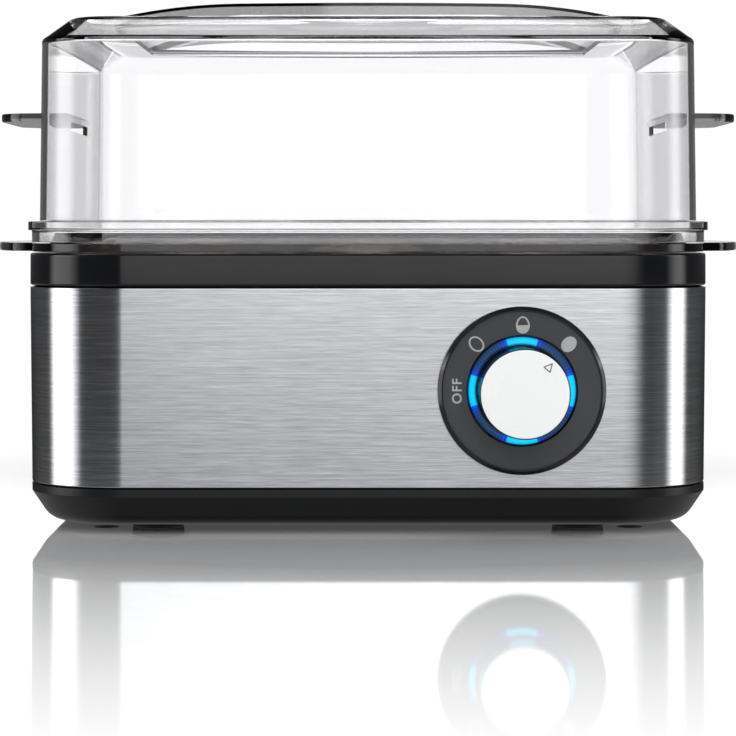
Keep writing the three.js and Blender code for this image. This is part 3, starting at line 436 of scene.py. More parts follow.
def evaluated(holder, name):
    """The plain mesh that an object's modifiers or text give; the object is used up."""
    bpy.context.scene.collection.objects.link(holder)
    graph = bpy.context.evaluated_depsgraph_get()
    graph.update()
    mesh = bpy.data.meshes.new_from_object(holder.evaluated_get(graph))
    mesh.name = name
    bpy.data.objects.remove(holder)
    return mesh


def through_rings(name, rings, closed):
    """A mesh through rings of points, with a UV map of the length along the ring and along the profile."""
    mesh = bmesh.new()
    layer = mesh.loops.layers.uv.new("run")
    lines = [[mesh.verts.new(p) for p in ring] for ring in rings]
    count = len(rings[0])
    lengths = [0.0]
    for i in range(count):
        lengths.append(lengths[-1] + (Vector(rings[0][(i + 1) % count]) - Vector(rings[0][i])).length)
    heights = [0.0]
    for low, high in zip(rings, rings[1:] + rings[:1]):
        heights.append(heights[-1] + (Vector(high[0]) - Vector(low[0])).length)
    pairs = len(rings) if closed else len(rings) - 1
    for r in range(pairs):
        low, high = lines[r], lines[(r + 1) % len(rings)]
        for i in range(count):
            n = (i + 1) % count
            face = mesh.faces.new((low[i], low[n], high[n], high[i]))
            runs = (lengths[i], lengths[i + 1], lengths[i + 1], lengths[i])
            rises = (heights[r], heights[r], heights[r + 1], heights[r + 1])
            for loop, u, v in zip(face.loops, runs, rises):
                loop[layer].uv = (u, v)
    if not closed:
        mesh.faces.new(lines[0])
        mesh.faces.new(lines[-1])
    bmesh.ops.remove_doubles(mesh, verts=mesh.verts, dist=0.0001 * MM)
    bmesh.ops.recalc_face_normals(mesh, faces=mesh.faces)
    return data_from(mesh, name)


def square_sweep(name, half, corner, profile, rounding, rounds, steps=20, capped=True):
    """A lathe round a rounded square; the profile's points are (inset, height)."""
    sharpest = 0.2 * MM
    rings = []
    for inset, height in filleted(profile, rounding, rounds, closed=not capped):
        ring = rounded_square(half - inset, max(corner - inset, sharpest), steps)
        rings.append([(x, y + MIDDLE_Y, height) for x, y in ring])
    return through_rings(name, rings, not capped)


def lathe(name, profile, centre, facing="up", steps=96, rounding=0.0, rounds=3, solid=False):
    """A round piece, with or without a bore; the profile's points are (radius, distance the way it faces)."""
    if solid:
        axis = 0.01 * MM  # closed a hair from its axis
        profile = [(axis, profile[0][1]), *profile, (axis, profile[-1][1])]
    if rounding:
        profile = filleted(profile, rounding, rounds, closed=not solid)
    quarter_turns = {"up": 0, "front": 1, "rear": -1}[facing]
    turn = Matrix.Rotation(quarter_turns * math.pi / 2, 3, "X")
    rings = []
    for radius, distance in profile:
        ring = []
        for i in range(steps):
            angle = i * 2 * math.pi / steps
            place = Vector((radius * math.cos(angle), radius * math.sin(angle), distance))
            ring.append(tuple(Vector(centre) + turn @ place))
        rings.append(ring)
    return through_rings(name, rings, not solid)


def bar(name, radius, low, high, centre, facing="up", steps=24):
    """A solid round bar between two distances the way it faces."""
    return lathe(name, [(radius, low), (radius, high)], centre, facing, steps, solid=True)


def thicken(mesh, along):
    """Gives a mesh of flat faces a thickness."""
    raised = bmesh.ops.extrude_face_region(mesh, geom=mesh.faces[:])["geom"]
    verts = [part for part in raised if isinstance(part, bmesh.types.BMVert)]
    bmesh.ops.translate(mesh, verts=verts, vec=along)
    bmesh.ops.recalc_face_normals(mesh, faces=mesh.faces)


def prism(name, points, low, high, bevel=0.0):
    """An upright prism of a closed outline."""
    mesh = bmesh.new()
    mesh.faces.new([mesh.verts.new((x, y, low)) for x, y in points])
    thicken(mesh, (0, 0, high - low))
    if bevel:
        edges = [e for e in mesh.edges if abs(e.verts[0].co.z - e.verts[1].co.z) < 1e-9]
        bmesh.ops.bevel(mesh, geom=edges, offset=bevel, segments=2, affect="EDGES")
    return data_from(mesh, name)


def carve(mesh, others, operation):
    """A mesh joined with, or cut by, each of the others, which are used up."""
    base = bpy.data.objects.new("carving", mesh)
    tools = []
    for other in others:
        tool = bpy.data.objects.new("carving_tool", other)
        bpy.context.scene.collection.objects.link(tool)
        modifier = base.modifiers.new("carve", "BOOLEAN")
        modifier.operation = operation
        modifier.object = tool
        modifier.solver = "MANIFOLD"
        tools.append(tool)
    result = evaluated(base, mesh.name)
    for tool in tools:
        bpy.data.objects.remove(tool)
    return result


def smooth(mesh, angle=32):
    """Smooth shading with sharp edges kept, and flat faces kept flat."""
    mesh.shade_smooth()
    mesh.set_sharp_from_angle(angle=math.radians(angle))
    holder = bpy.data.objects.new("shading", mesh)
    holder.modifiers.new("flats", "WEIGHTED_NORMAL").keep_sharp = True
    return evaluated(holder, mesh.name)


def joined(name, meshes):
    """Several meshes as one."""
    mesh = bmesh.new()
    for each in meshes:
        mesh.from_mesh(each)
    return data_from(mesh, name)


# Sleeve: brushed band with rolled edges, holed for the dial and the bushing


def make_sleeve():
    sheet = 0.8 * MM
    dial_hole, bushing_hole = 16.9 * MM, 5.3 * MM
    inside, outside = -20 * MM, 5 * MM
    profile = [(TAPER, SEAM), (0, sleeve_high.z), (sheet, sleeve_high.z), (TAPER + sheet, SEAM)]
    mesh = square_sweep("sleeve", HALF, CORNER, profile, 0.3 * MM, rounds=3, capped=False)
    cutters = [
        bar("dial_hole", dial_hole, inside, outside, DIAL, "front", 64),
        bar("bushing_hole", bushing_hole, inside, outside, BUSHING, "rear", 40),
    ]
    mesh = smooth(carve(mesh, cutters, "DIFFERENCE"))
    finish_piece("brushed_sleeve", mesh, STEEL, "housing", "steel_sleeve")


# Collar: gloss ring with a soft upper edge, the dish's opening and ledge, and its four posts


def make_collar():
    low, high = sleeve_high.z + GAP, collar_high.z
    skirt = low - 5.7 * MM
    plate = 2.5 * MM
    opening = dish_high.x + GAP
    ledge_inner, ledge_outer = 73.4 * MM, opening + 1.5 * MM
    ledge_low, ledge_top = 61.4 * MM, 63.4 * MM
    well_low = 50 * MM  # below all that the well cuts
    edge = 0.5 * MM
    profile = [
        (SPIGOT + SPIGOT_WALL, high - plate),
        (SPIGOT + SPIGOT_WALL, skirt),
        (SPIGOT, skirt),
        (SPIGOT, low),
        (0, low),
        (0, high),
        (8 * MM, high),
    ]
    shell = square_sweep("collar_ring", HALF, CORNER, profile, 0.8 * MM, rounds=4)
    buried = high - plate / 2
    profile = [
        (ledge_inner, ledge_low),
        (ledge_outer, ledge_low),
        (ledge_outer, buried),
        (ledge_inner, buried),
    ]
    ledge = lathe("ledge", profile, CENTRE)
    posts = [bar("post", 4 * MM, collar_low.z, buried, place) for place in corner_places(SCREW_X, SCREW_Y)]
    mesh = carve(shell, [ledge, *posts], "UNION")
    profile = [
        (ledge_inner, well_low),
        (ledge_inner, ledge_top),
        (opening, ledge_top),
        (opening, high - edge),
        (opening + edge, high),
        (opening + edge, high + MM),
    ]
    well = lathe("well", profile, CENTRE, steps=128, solid=True)
    mesh = smooth(carve(mesh, [well], "DIFFERENCE"))
    finish_piece("gloss_collar", mesh, BLACK_GLOSS, "housing", "collar")


# Base: satin pan with a curved-in lower edge, vents, foot pockets and screw recesses


def make_base():
    low = foot_low.z + 1.7 * MM
    top = SEAM - GAP
    band = top - 2 * MM
    floor = low + 2.9 * MM
    curve, inner_curve = 5.3 * MM, 7 * MM  # how far in the outside and the inside turn level
    flat = 13.5 * MM
    inner = SPIGOT + SPIGOT_WALL
    pocket, recess = 6.65 * MM, 3.3 * MM
    profile = [
        (flat, low),
        (curve, low, 3.2 * MM),
        (TAPER, band, 0.12 * MM),
        (TAPER, top),
        (SPIGOT, top),
        (SPIGOT, base_high.z),
        (inner, base_high.z),
        (inner, band),
        (inner_curve, floor, 2 * MM),
        (flat, floor),
    ]
    mesh = square_sweep("base", HALF, CORNER, profile, 0.35 * MM, rounds=8)
    cutters = []
    for foot, screw in zip(corner_places(FOOT_X, FOOT_Y), corner_places(SCREW_X, SCREW_Y)):
        cutters.append(bar("pocket", pocket, 0, low + 1.5 * MM, foot, steps=48))
        cutters.append(bar("recess", recess, 0, low + 2 * MM, screw, steps=32))
    vents, pitch, length, width = 5, 8 * MM, 34 * MM, 2.6 * MM
    first = MIDDLE_Y + 10 * MM
    for i in range(vents):
        y = first + i * pitch
        outline = filleted(rectangle(length / 2, y - width / 2, y + width / 2), width / 2, 5)
        cutters.append(prism("vent", outline, 0, floor + MM))
    mesh = smooth(carve(mesh, cutters, "DIFFERENCE"))
    finish_piece("curved_base", mesh, BLACK_SATIN, "housing", "base_pan")


def make_feet():
    radius = (foot_high.x - foot_low.x) / 2
    hollow = 0.5 * MM
    profile = [(radius * 0.62, hollow), (radius * 0.68, 0), (radius, 0), (radius, foot_high.z)]
    names = ("front_left", "rear_left", "front_right", "rear_right")
    for name, place in zip(names, corner_places(FOOT_X, FOOT_Y)):
        mesh = smooth(lathe("foot", profile, place, "up", 48, 0.5 * MM, rounds=4, solid=True))
        finish_piece(f"rubber_foot_{name}", mesh, RUBBER, "housing", f"foot_{name}")


# Water dish: cast dish with a rim and a rounded floor edge


def make_dish():
    mouth, floor_radius = 71.5 * MM, 67 * MM
    wall, floor, rim = 1.6 * MM, 2 * MM, 1.2 * MM
    low, top = 55 * MM, dish_high.z
    profile = [
        (floor_radius, low),
        (mouth, top),
        (dish_high.x, top),
        (dish_high.x, top - rim),
        (mouth + wall, top - rim),
        (floor_radius + wall, low - floor),
    ]
    mesh = smooth(lathe("dish", profile, CENTRE, "up", 128, 1.2 * MM, rounds=5, solid=True))
    finish_piece("coated_water_dish", mesh, CAST, "housing", "water_dish")


# Tray: flange with side tabs, raised deck, conical seats and steam holes


def tab_points(side):
    """A side tab's outline: a flat arc between two slanted ends."""
    reach, half_length = tray_high.x, 48.4 * MM
    sag = 8.1 * MM  # how far the arc's middle is past its ends
    radius = (half_length ** 2 + sag ** 2) / (2 * sag)
    widest = math.asin(half_length / radius)
    end = [(79 * MM, 53 * MM), (85.4 * MM, 51 * MM)]
    steps = 24
    points = [(x, -y) for x, y in end]
    for step in range(steps + 1):
        angle = widest * (2 * step / steps - 1)
        points.append((reach - radius + radius * math.cos(angle), radius * math.sin(angle)))
    points += end[::-1]
    return [(side * x, side * y + MIDDLE_Y) for x, y in points]


def make_tray():
    low, top = collar_high.z + GAP, tray_high.z
    flange_top = low + 2.1 * MM
    plate = 1.9 * MM
    edge, deck, slope = 0.5 * MM, 4.6 * MM, 1.4 * MM
    seat_ring, steam_ring, steam_hole = 52 * MM, 29 * MM, 2.5 * MM
    profile = [
        (deck + slope + plate, top - plate),
        (deck + plate, low),
        (edge, low),
        (edge, flange_top),
        (deck, flange_top),
        (deck + slope, top),
        (12 * MM, top),
    ]
    mesh = square_sweep("tray", HALF, CORNER, profile, 0.25 * MM, rounds=3, steps=16)
    outlines = [filleted(tab_points(side), 2.5 * MM, 3) for side in (-1, 1)]
    tabs = [prism("tab", outline, low, flange_top, bevel=0.25 * MM) for outline in outlines]
    seats = [CENTRE, *ring_places(SEATS_AROUND, seat_ring, 0)]
    foot, buried = tray_low.z, top - plate / 2
    cup = [(17.35 * MM, foot), (21.4 * MM, buried)]
    cups = [lathe("cup", cup, place, steps=56, solid=True) for place in seats]
    mesh = carve(mesh, [*tabs, *cups], "UNION")
    seat = [(15.25 * MM, foot - MM), (19.8 * MM, top), (20.6 * MM, top + MM)]
    holes = [lathe("seat", seat, place, steps=56, solid=True) for place in seats]
    for place in ring_places(SEATS_AROUND, steam_ring, 0.5):
        holes.append(bar("steam_hole", steam_hole, low, top + MM, place))
    notch = rectangle(5 * MM, FRONT_Y - MM, FRONT_Y + 1.5 * MM)
    holes.append(prism("notch", notch, low - MM, flange_top + MM))
    mesh = smooth(carve(mesh, holes, "DIFFERENCE"))
    finish_piece("seat_tray", mesh, SMOKED_TRAY, "tray", "egg_tray")


# Lid: skirt and lip, upright walls, chamfered top, raised panel, side wings with a slot under each


def panel_plan(inset):
    """The raised panel's outline: straight sides, front and rear edges that bow out in the middle."""
    side, corner, middle = PANEL_SIDE - inset, 62 * MM - inset, 72.5 * MM - inset
    control = 2 * middle - corner
    steps = 32
    points = []
    for sign in (-1, 1):
        for step in range(steps + 1):
            t = step / steps
            x = sign * side * (2 * t - 1)
            y = -sign * (corner * ((1 - t) ** 2 + t ** 2) + control * 2 * t * (1 - t))
            points.append((x, y + MIDDLE_Y))
    return points


def panel_section(name, low, inset):
    """The space under the panel's top, which is level in the middle and curves down to both sides."""
    level = 32 * MM
    steps = 10
    top = lid_high.z - PANEL_RISE - inset
    end = PANEL_SIDE + inset + MM
    points = [(-end, low), (end, low), (end, top)]
    for step in range(steps + 1):
        t = 1 - step / steps
        points.append((level + (PANEL_SIDE - level) * t, top + PANEL_RISE * (1 - t ** 2)))
    points += [(-x, z) for x, z in points[:2:-1]]
    points.append((-end, top))
    data = prism(name, points, -HALF, HALF)
    data.transform(Matrix.Translation(CENTRE) @ Matrix.Rotation(math.pi / 2, 4, "X"))
    return data


def panel_body(name, low, inset):
    """The raised panel from a height up, smaller all round by an inset."""
    outline = prism(name, panel_plan(inset), low - 0.1 * MM, lid_high.z + MM)
    return carve(outline, [panel_section(f"{name}_top", low, inset)], "INTERSECT")


def wing_points(side, root):
    """A wing's outline, seen from above, with rounded tips."""
    end = [(root, 30 * MM), (92 * MM, 27.5 * MM), (lid_high.x, WING_TIP)]
    outline = [(x, -y) for x, y in end] + end[::-1]
    return [(side * x, side * y + MIDDLE_Y) for x, y in filleted(outline, 3 * MM, 6)]


def make_lid():
    half = (lid_high.y - lid_low.y) / 2
    low = lid_low.z
    top = lid_high.z - PANEL_RISE
    wall = 1.5 * MM
    inset, draft = 2.55 * MM, 0.55 * MM
    lip, lip_low, lip_top = 0.3 * MM, low + 2.9 * MM, low + 5.1 * MM
    skirt, skirt_inner = 0.6 * MM, 2.4 * MM
    knee = top - 5.4 * MM
    profile = [
        (inset + draft + 8.4 * MM, top - 1.9 * MM),
        (inset + draft + wall, knee - 0.9 * MM, 0.4 * MM),
        (inset + wall, low + 3.3 * MM, 0.3 * MM),
        (skirt_inner, low + 2.6 * MM, 0.3 * MM),
        (skirt_inner, low, 0.2 * MM),
        (skirt, low, 0.2 * MM),
        (skirt, lip_low, 0.15 * MM),
        (-lip, lip_low, 0.25 * MM),
        (-lip, lip_top, 0.35 * MM),
        (inset, lip_top, 0.3 * MM),
        (inset + draft, knee, 0.7 * MM),
        (inset + draft + 7.5 * MM, top, 1.4 * MM),
        (inset + draft + 12 * MM, top),
    ]
    shell = square_sweep("lid", half, 20 * MM, profile, 0.9 * MM, rounds=4, steps=16)
    root = half - inset - draft + 0.02 * MM
    wing_low, wing_high = low + 31.1 * MM, low + 33.2 * MM
    outlines = [wing_points(side, root) for side in (-1, 1)]
    wings = [prism("wing", outline, wing_low, wing_high, bevel=0.25 * MM) for outline in outlines]
    mesh = smooth(joined("wings", wings))
    finish_piece("lid_wings", mesh, SMOKED_WING, "cover", "lid")
    mesh = carve(shell, [panel_body("panel", top - 0.95 * MM, 0)], "UNION")
    hollow = panel_body("hollow", top - 2.9 * MM, 0.75 * MM)
    slot = rectangle(half + MM, MIDDLE_Y - WING_TIP, MIDDLE_Y + WING_TIP)
    slots = prism("slots", slot, wing_low - 2.4 * MM, wing_low)
    mesh = smooth(carve(mesh, [hollow, slots], "DIFFERENCE"), 25)
    finish_piece("clear_lid", mesh, SMOKED, "cover", "lid")


# Dial: black rim, grey face with symbols, lit ring with ribs, and the knob


def flat_piece(name, loops, depth, material, body, turn, radius, level):
    """A thin plate of one outline, or of one with a hole, on the dial at a turn in degrees and a radius."""
    mesh = bmesh.new()
    rings = [[mesh.verts.new((x, 0, z)) for x, z in loop] for loop in loops]
    if len(rings) == 1:
        mesh.faces.new(rings[0])
    else:
        outer, inner = rings
        count = len(outer)
        for i in range(count):
            n = (i + 1) % count
            mesh.faces.new((outer[i], outer[n], inner[n], inner[i]))
    thicken(mesh, (0, -depth, 0))
    place = Matrix.Translation((DIAL.x, level, DIAL.z)) @ Matrix.Rotation(math.radians(turn), 4, "Y")
    bmesh.ops.transform(mesh, matrix=place @ Matrix.Translation((0, 0, radius)), verts=mesh.verts)
    finish_piece(name, data_from(mesh, name), material, body)


def oval(width, height, point=0.0, count=48):
    """An oval outline; point narrows its upper end."""
    loop = []
    for i in range(count):
        angle = i * 2 * math.pi / count
        z = math.sin(angle)
        x = math.cos(angle) * (1 - point * z)
        loop.append((x * width / 2, z * height / 2))
    return loop


def make_symbols(face_y):
    """The printed marks for soft, medium and hard, and the word for off, sunk a little into the face."""
    depth = 0.05 * MM
    sunk = 0.01 * MM
    width, height, tall, line = 3.3 * MM, 4.1 * MM, 4.15 * MM, 0.78 * MM
    point = 0.08
    open_oval = [oval(width, height), oval(width - line, height - line)]
    tall_oval = [oval(width, tall, point), oval(width - line, tall - line, point)]
    lower_half = [(x, z) for x, z in oval(width - line, tall - line, point, 96) if z <= 0]
    marks = [
        ("symbol_soft", open_oval, -44.3, 15.66 * MM),
        ("symbol_hard", [oval(width, height)], 45.1, 15.8 * MM),
        ("symbol_medium", tall_oval, 0.6, 15.77 * MM),
        ("symbol_medium_yolk", [lower_half], 0.6, 15.77 * MM),
    ]
    back = face_y + sunk
    for name, loops, turn, radius in marks:
        flat_piece(name, loops, depth, SYMBOL_INK, "housing", turn, radius, back)
    text = bpy.data.curves.new("off", "FONT")
    text.body = "OFF"
    text.align_x = text.align_y = "CENTER"
    text.size = 3.2 * MM
    text.offset = 0.045 * MM
    text.space_character = 1.14
    text.extrude = depth / 2
    mesh = evaluated(bpy.data.objects.new("off", text), "off")
    place = Matrix.Translation((DIAL.x - 15.5 * MM, back - depth / 2, DIAL.z - 0.1 * MM))
    mesh.transform(place @ Matrix.Rotation(math.pi / 2, 4, "X") @ Matrix.Rotation(math.pi / 2, 4, "Z"))
    finish_piece("symbol_off", mesh, SYMBOL_INK, "housing")


def make_dial():
    radius = (bezel_high.x - bezel_low.x) / 2
    back, front = FRONT_Y - bezel_high.y, FRONT_Y - bezel_low.y
    face = front - 0.5 * MM
    seat = face - 0.4 * MM
    bore, boss, inner = 13.4 * MM, 16.6 * MM, radius - 1.1 * MM
    rim = [
        (bore, back),
        (boss, back),
        (boss, GAP),
        (radius, GAP),
        (radius, front - 0.8 * MM),
        (radius - 0.9 * MM, front),
        (inner, front),
        (inner, seat),
        (bore, seat),
    ]
    mesh = smooth(lathe("rim", rim, DIAL, "front", 128, 0.18 * MM))
    finish_piece("dial_rim", mesh, BLACK_GLOSS, "housing", "dial_bezel")
    clear = 0.02 * MM
    plate = [(bore, seat + clear), (inner - clear, seat + clear), (inner - clear, face), (bore, face)]
    mesh = smooth(lathe("face", plate, DIAL, "front", 128, 0.1 * MM, rounds=2))
    finish_piece("dial_face", mesh, DIAL_GREY, "housing")
    make_symbols(FRONT_Y - face)


def rib_tree():
    """Ribs in a ring: bars along the guide's front, turned round the dial's axis and made real."""
    tree = bpy.data.node_groups.new("guide_ribs", "GeometryNodeTree")
    tree.interface.new_socket("Geometry", in_out="OUTPUT", socket_type="NodeSocketGeometry")
    inputs = {
        "Count": "Int",
        "Ring Radius": "Float",
        "Rib Width": "Float",
        "Rib Length": "Float",
        "Rib Height": "Float",
        "Material": "Material",
    }
    for name, kind in inputs.items():
        tree.interface.new_socket(name, in_out="INPUT", socket_type=f"NodeSocket{kind}")
    given = add_node(tree, "NodeGroupInput").outputs
    links = {"Resolution": 64, "Radius": given["Ring Radius"]}
    circle = add_node(tree, "GeometryNodeCurvePrimitiveCircle", links)
    points = add_node(tree, "GeometryNodeCurveToPoints", {"Curve": circle, "Count": given["Count"]})
    links = {"X": given["Rib Length"], "Y": given["Rib Width"], "Z": given["Rib Height"]}
    size = add_node(tree, "ShaderNodeCombineXYZ", links)
    rib = add_node(tree, "GeometryNodeMeshCube", {"Size": size})
    place = add_node(tree, "GeometryNodeInputPosition")
    aim = add_node(tree, "FunctionNodeAlignRotationToVector", {"Vector": place}, axis="X", pivot_axis="Z")
    links = {"Points": points, "Instance": rib, "Rotation": aim}
    copies = add_node(tree, "GeometryNodeInstanceOnPoints", links)
    real = add_node(tree, "GeometryNodeRealizeInstances", {"Geometry": copies})
    painted = add_node(tree, "GeometryNodeSetMaterial", {"Geometry": real, "Material": given["Material"]})
    add_node(tree, "NodeGroupOutput", {"Geometry": painted})
    return tree


def grown(name, tree, values):
    """The mesh that a geometry tree makes with these values for its named inputs."""
    holder = bpy.data.objects.new(name, bpy.data.meshes.new(name))
    modifier = holder.modifiers.new("grow", "NODES")
    modifier.node_group = tree
    for item in tree.interface.items_tree:
        if item.in_out == "INPUT":
            modifier[item.identifier] = values[item.name]
    return evaluated(holder, name)


def make_guide():
    flange = (guide_high.x - guide_low.x) / 2
    back, front = FRONT_Y - guide_high.y, FRONT_Y - guide_low.y
    flange_front = back + 1.3 * MM
    channel = front - 0.25 * MM  # the ribs' floor
    profile = [
        (GUIDE_INNER, back),
        (flange, back),
        (flange, flange_front),
        (GUIDE_OUTER, flange_front),
        (GUIDE_OUTER, front),
        (GUIDE_OUTER - 0.45 * MM, front),
        (GUIDE_OUTER - 0.6 * MM, channel),
        (GUIDE_INNER + 0.5 * MM, channel),
        (GUIDE_INNER, front - 0.05 * MM),
    ]
    ring = smooth(lathe("guide", profile, DIAL, "front", 144, 0.12 * MM, rounds=2))
    ribs = grown("ribs", rib_tree(), {
        "Count": RIBS,
        "Ring Radius": (GUIDE_INNER + GUIDE_OUTER) / 2 - 0.05 * MM,
        "Rib Width": 0.22 * MM,
        "Rib Length": 1.1 * MM,
        "Rib Height": 0.2 * MM,
        "Material": LIT_BLUE,
    })
    place = Matrix.Translation((DIAL.x, FRONT_Y - channel + 0.02 * MM, DIAL.z))
    ribs.transform(place @ Matrix.Rotation(math.pi / 2, 4, "X"))
    mesh = joined("lit_ring", [ring, ribs])
    finish_piece("lit_ring", mesh, LIT_BLUE, "housing", "light_guide")


def make_knob():
    radius = (knob_high.x - knob_low.x) / 2
    back, front = FRONT_Y - knob_high.y, FRONT_Y - knob_low.y
    shell, floor = radius - 1.5 * MM, front - 2.4 * MM
    bore, hub = 3.3 * MM, 5 * MM
    profile = [
        (hub, back),
        (hub, floor),
        (shell, floor),
        (shell, back),
        (radius, back),
        (radius, front),
        (bore, front),
        (bore, back),
    ]
    mesh = smooth(lathe("knob", profile, DIAL, "front", 96, 0.2 * MM))
    finish_piece("chromed_knob", mesh, CHROME, "knob", "knob_body")
    back, front = FRONT_Y - cap_high.y, FRONT_Y - cap_low.y - 0.03 * MM
    # The thin black ring round the knob's face is painted shadow: a dark piece put where the gap between the
    # face and the chromed knob lies in shade.
    line = 0.12 * MM
    inner, outer = radius - line, radius + line
    edge = [(inner, back), (outer, back), (outer, front - 0.2 * MM), (inner, front - 0.05 * MM)]
    mesh = smooth(lathe("knob_gap_painted_shadow", edge, DIAL, "front", 128, 0.06 * MM, rounds=2))
    finish_piece("knob_painted_shadow_ring", mesh, BLACK_SATIN, "knob")
    cap = [(inner, back), (inner, front - 0.1 * MM), (inner - 0.15 * MM, front)]
    mesh = smooth(lathe("cap", cap, DIAL, "front", 128, 0.12 * MM, solid=True))
    finish_piece("bright_knob_face", mesh, BRIGHT, "knob", "knob_cap")
    outlines = [(1.5 * MM, 1.14 * MM, -0.78 * MM, 0.3 * MM), (0.98 * MM, 0.76 * MM, -0.54 * MM, 0.2 * MM)]
    loops = []
    for tip, side, foot, rounding in outlines:
        loops.append(filleted([(0, tip), (-side, foot), (side, foot)], rounding, 4))
    flat_piece("pointer", loops, 0.04 * MM, POINTER_INK, "knob", 41, 8.36 * MM,
               FRONT_Y - front + 0.01 * MM)


# Rubber bushing in the rear of the steel


def make_gland():
    back, front = gland_low.y - REAR_Y, gland_high.y - REAR_Y
    bore, neck, flange = 3.5 * MM, 5 * MM, 7 * MM
    thick = 1.5 * MM
    profile = [
        (bore, back),
        (flange, back),
        (flange, back + thick),
        (neck, back + thick),
        (neck, GAP),
        (flange, GAP),
        (flange, GAP + thick),
        (5.4 * MM, GAP + 2 * MM),
        (neck, front),
        (bore, front),
    ]
    mesh = smooth(lathe("gland", profile, BUSHING, "rear", 64, 0.3 * MM))
    finish_piece("rubber_bushing", mesh, RUBBER, "housing", "cord_gland")


make_sleeve()
make_collar()
make_base()
make_feet()
make_dish()
make_tray()
make_lid()
make_dial()
make_guide()
make_knob()
make_gland()

# The CAD nodes that stay, with their materials

KEPT = [
    (SILICONE, ["dish_seal"]),
    (ELEMENT, ["heating_element"]),
    (ZINC, ["heat_shield", "thermostat_clip", "fuse_clip", "knob_shaft", "switch_nut"]),
    (CERAMIC, ["thermostat", "thermal_fuse", "terminal_block"]),
    (BLACK_SATIN, ["dial_retainer", "rotary_switch", "buzzer"]),
    (BOARD, ["control_board"]),
    (RELAY_BLUE, ["relay"]),
    (BROWN_JACKET, ["wire_block_fuse", "wire_fuse_thermostat", "wire_thermostat_element"]),
    (BLUE_JACKET, ["wire_element_block"]),
    (BLACK_JACKET, ["wire_block_board"]),
    (ZINC, [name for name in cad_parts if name.startswith(("base_screw", "shield_screw"))]),
    (DIODE, [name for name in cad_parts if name.startswith("led_")]),
]
for material, names in KEPT:
    for name in names:
        slots = bpy.data.objects[name].data.materials
        slots.clear()
        slots.append(material)

# Tabletop, studio light and softboxes

WHITE = (1, 1, 1, 1)
MIX_A, MIX_B, MIX_RESULT = 6, 7, 2  # a colour mix's sockets, whose names its other kinds have too


def gloss_tabletop():
    # White glossy tabletop that fades into the white backdrop away from the boiler, soonest behind it
    material, tree, surface, output = new_material(
        "white_gloss_tabletop",
        Base_Color=linear("#f3f4f5"),
        Metallic=0.5,
        Roughness=0.04,
        IOR=2.0,
    )
    glow = add_node(tree, "ShaderNodeEmission", {"Color": WHITE, "Strength": 1.05})
    places = add_node(tree, "ShaderNodeTexCoord").outputs["Object"]
    x, y, _ = add_node(tree, "ShaderNodeSeparateXYZ", {"Vector": places}).outputs
    behind = add_node(tree, "ShaderNodeMath", {0: y, 1: 1.8}, operation="MULTIPLY")
    depth = add_node(tree, "ShaderNodeMath", {0: y, 1: behind}, operation="MAXIMUM")
    aside = add_node(tree, "ShaderNodeMath", {0: x}, operation="ABSOLUTE")
    beside, hurry = 90 * MM, 2.6
    limits = {0: aside, 1: hurry, 2: (1 - hurry) * beside}
    outer = add_node(tree, "ShaderNodeMath", limits, operation="MULTIPLY_ADD")
    width = add_node(tree, "ShaderNodeMath", {0: aside, 1: outer}, operation="MAXIMUM")
    spread = add_node(tree, "ShaderNodeCombineXYZ", {"X": width, "Y": depth})
    away = add_node(tree, "ShaderNodeVectorMath", {0: spread}, operation="LENGTH").outputs["Value"]
    limits = {"Value": away, "From Min": 140 * MM, "From Max": 365 * MM}
    fade = add_node(tree, "ShaderNodeMapRange", limits)
    connect(tree, output, {"Surface": add_node(tree, "ShaderNodeMixShader", {0: fade, 1: surface, 2: glow})})
    return material


def make_floor():
    mesh = bmesh.new()
    bmesh.ops.create_grid(mesh, x_segments=1, y_segments=1, size=450 * MM)
    data = data_from(mesh, "floor")
    data.materials.append(gloss_tabletop())
    floor = bpy.data.objects.new("floor", data)
    floor.visible_glossy = False
    bpy.context.scene.collection.objects.link(floor)


def softbox(name, place, aim, width, height, power):
    """A rectangle of light that mirrored rays don't see."""
    light = bpy.data.lights.new(name, "AREA")
    light.shape = "RECTANGLE"
    light.size = width
    light.size_y = height
    light.energy = power
    box = bpy.data.objects.new(name, light)
    box.location = place
    box.visible_glossy = False
    box.rotation_euler = (Vector(aim) - Vector(place)).to_track_quat("-Z", "Y").to_euler()
    bpy.context.scene.collection.objects.link(box)


# How bright the studio is by the turn from the front in degrees, left to right
ROUND = [(-180, 0.7), (-171, 0.7), (-161, 0.1), (-102, 0.06), (-92, 2.6), (-71, 2.6), (-56, 0.05),
         (-8.5, 0.05), (-5.4, 1.66), (0, 1.56), (4, 1.78), (17, 1.74), (27, 1.3), (36, 0.4), (41, 0.07),
         (70, 0.07), (83, 2.6), (92, 2.6), (102.5, 0.07), (161, 0.1), (171, 0.7), (180, 0.7)]
# And by a ray's climb, which is 0 when it is level and 1 when it is upright
FRONT_LOW = [(-0.12, 0.14), (-0.07, 0.34), (-0.02, 1)]
FRONT_HIGH = [(0.19, 1), (0.22, 2), (0.27, 2), (0.45, 0.12)]
BEHIND = [(-0.03, 0.35), (-0.012, 1), (0.085, 1), (0.105, 2), (0.22, 2), (0.3, 0.3), (0.84, 0.3), (0.9, 1.5)]


def by_climb(tree, climb, reach, stops):
    """Brightness by a ray's climb, up to a reach above and below level."""
    scale = 0.5 / reach
    place = add_node(tree, "ShaderNodeMath", {0: climb, 1: scale, 2: 0.5}, operation="MULTIPLY_ADD")
    greys = [(at * scale + 0.5, (level, level, level, 1)) for at, level in stops]
    return add_node(tree, "ShaderNodeValToRGB", {"Fac": place}, greys)


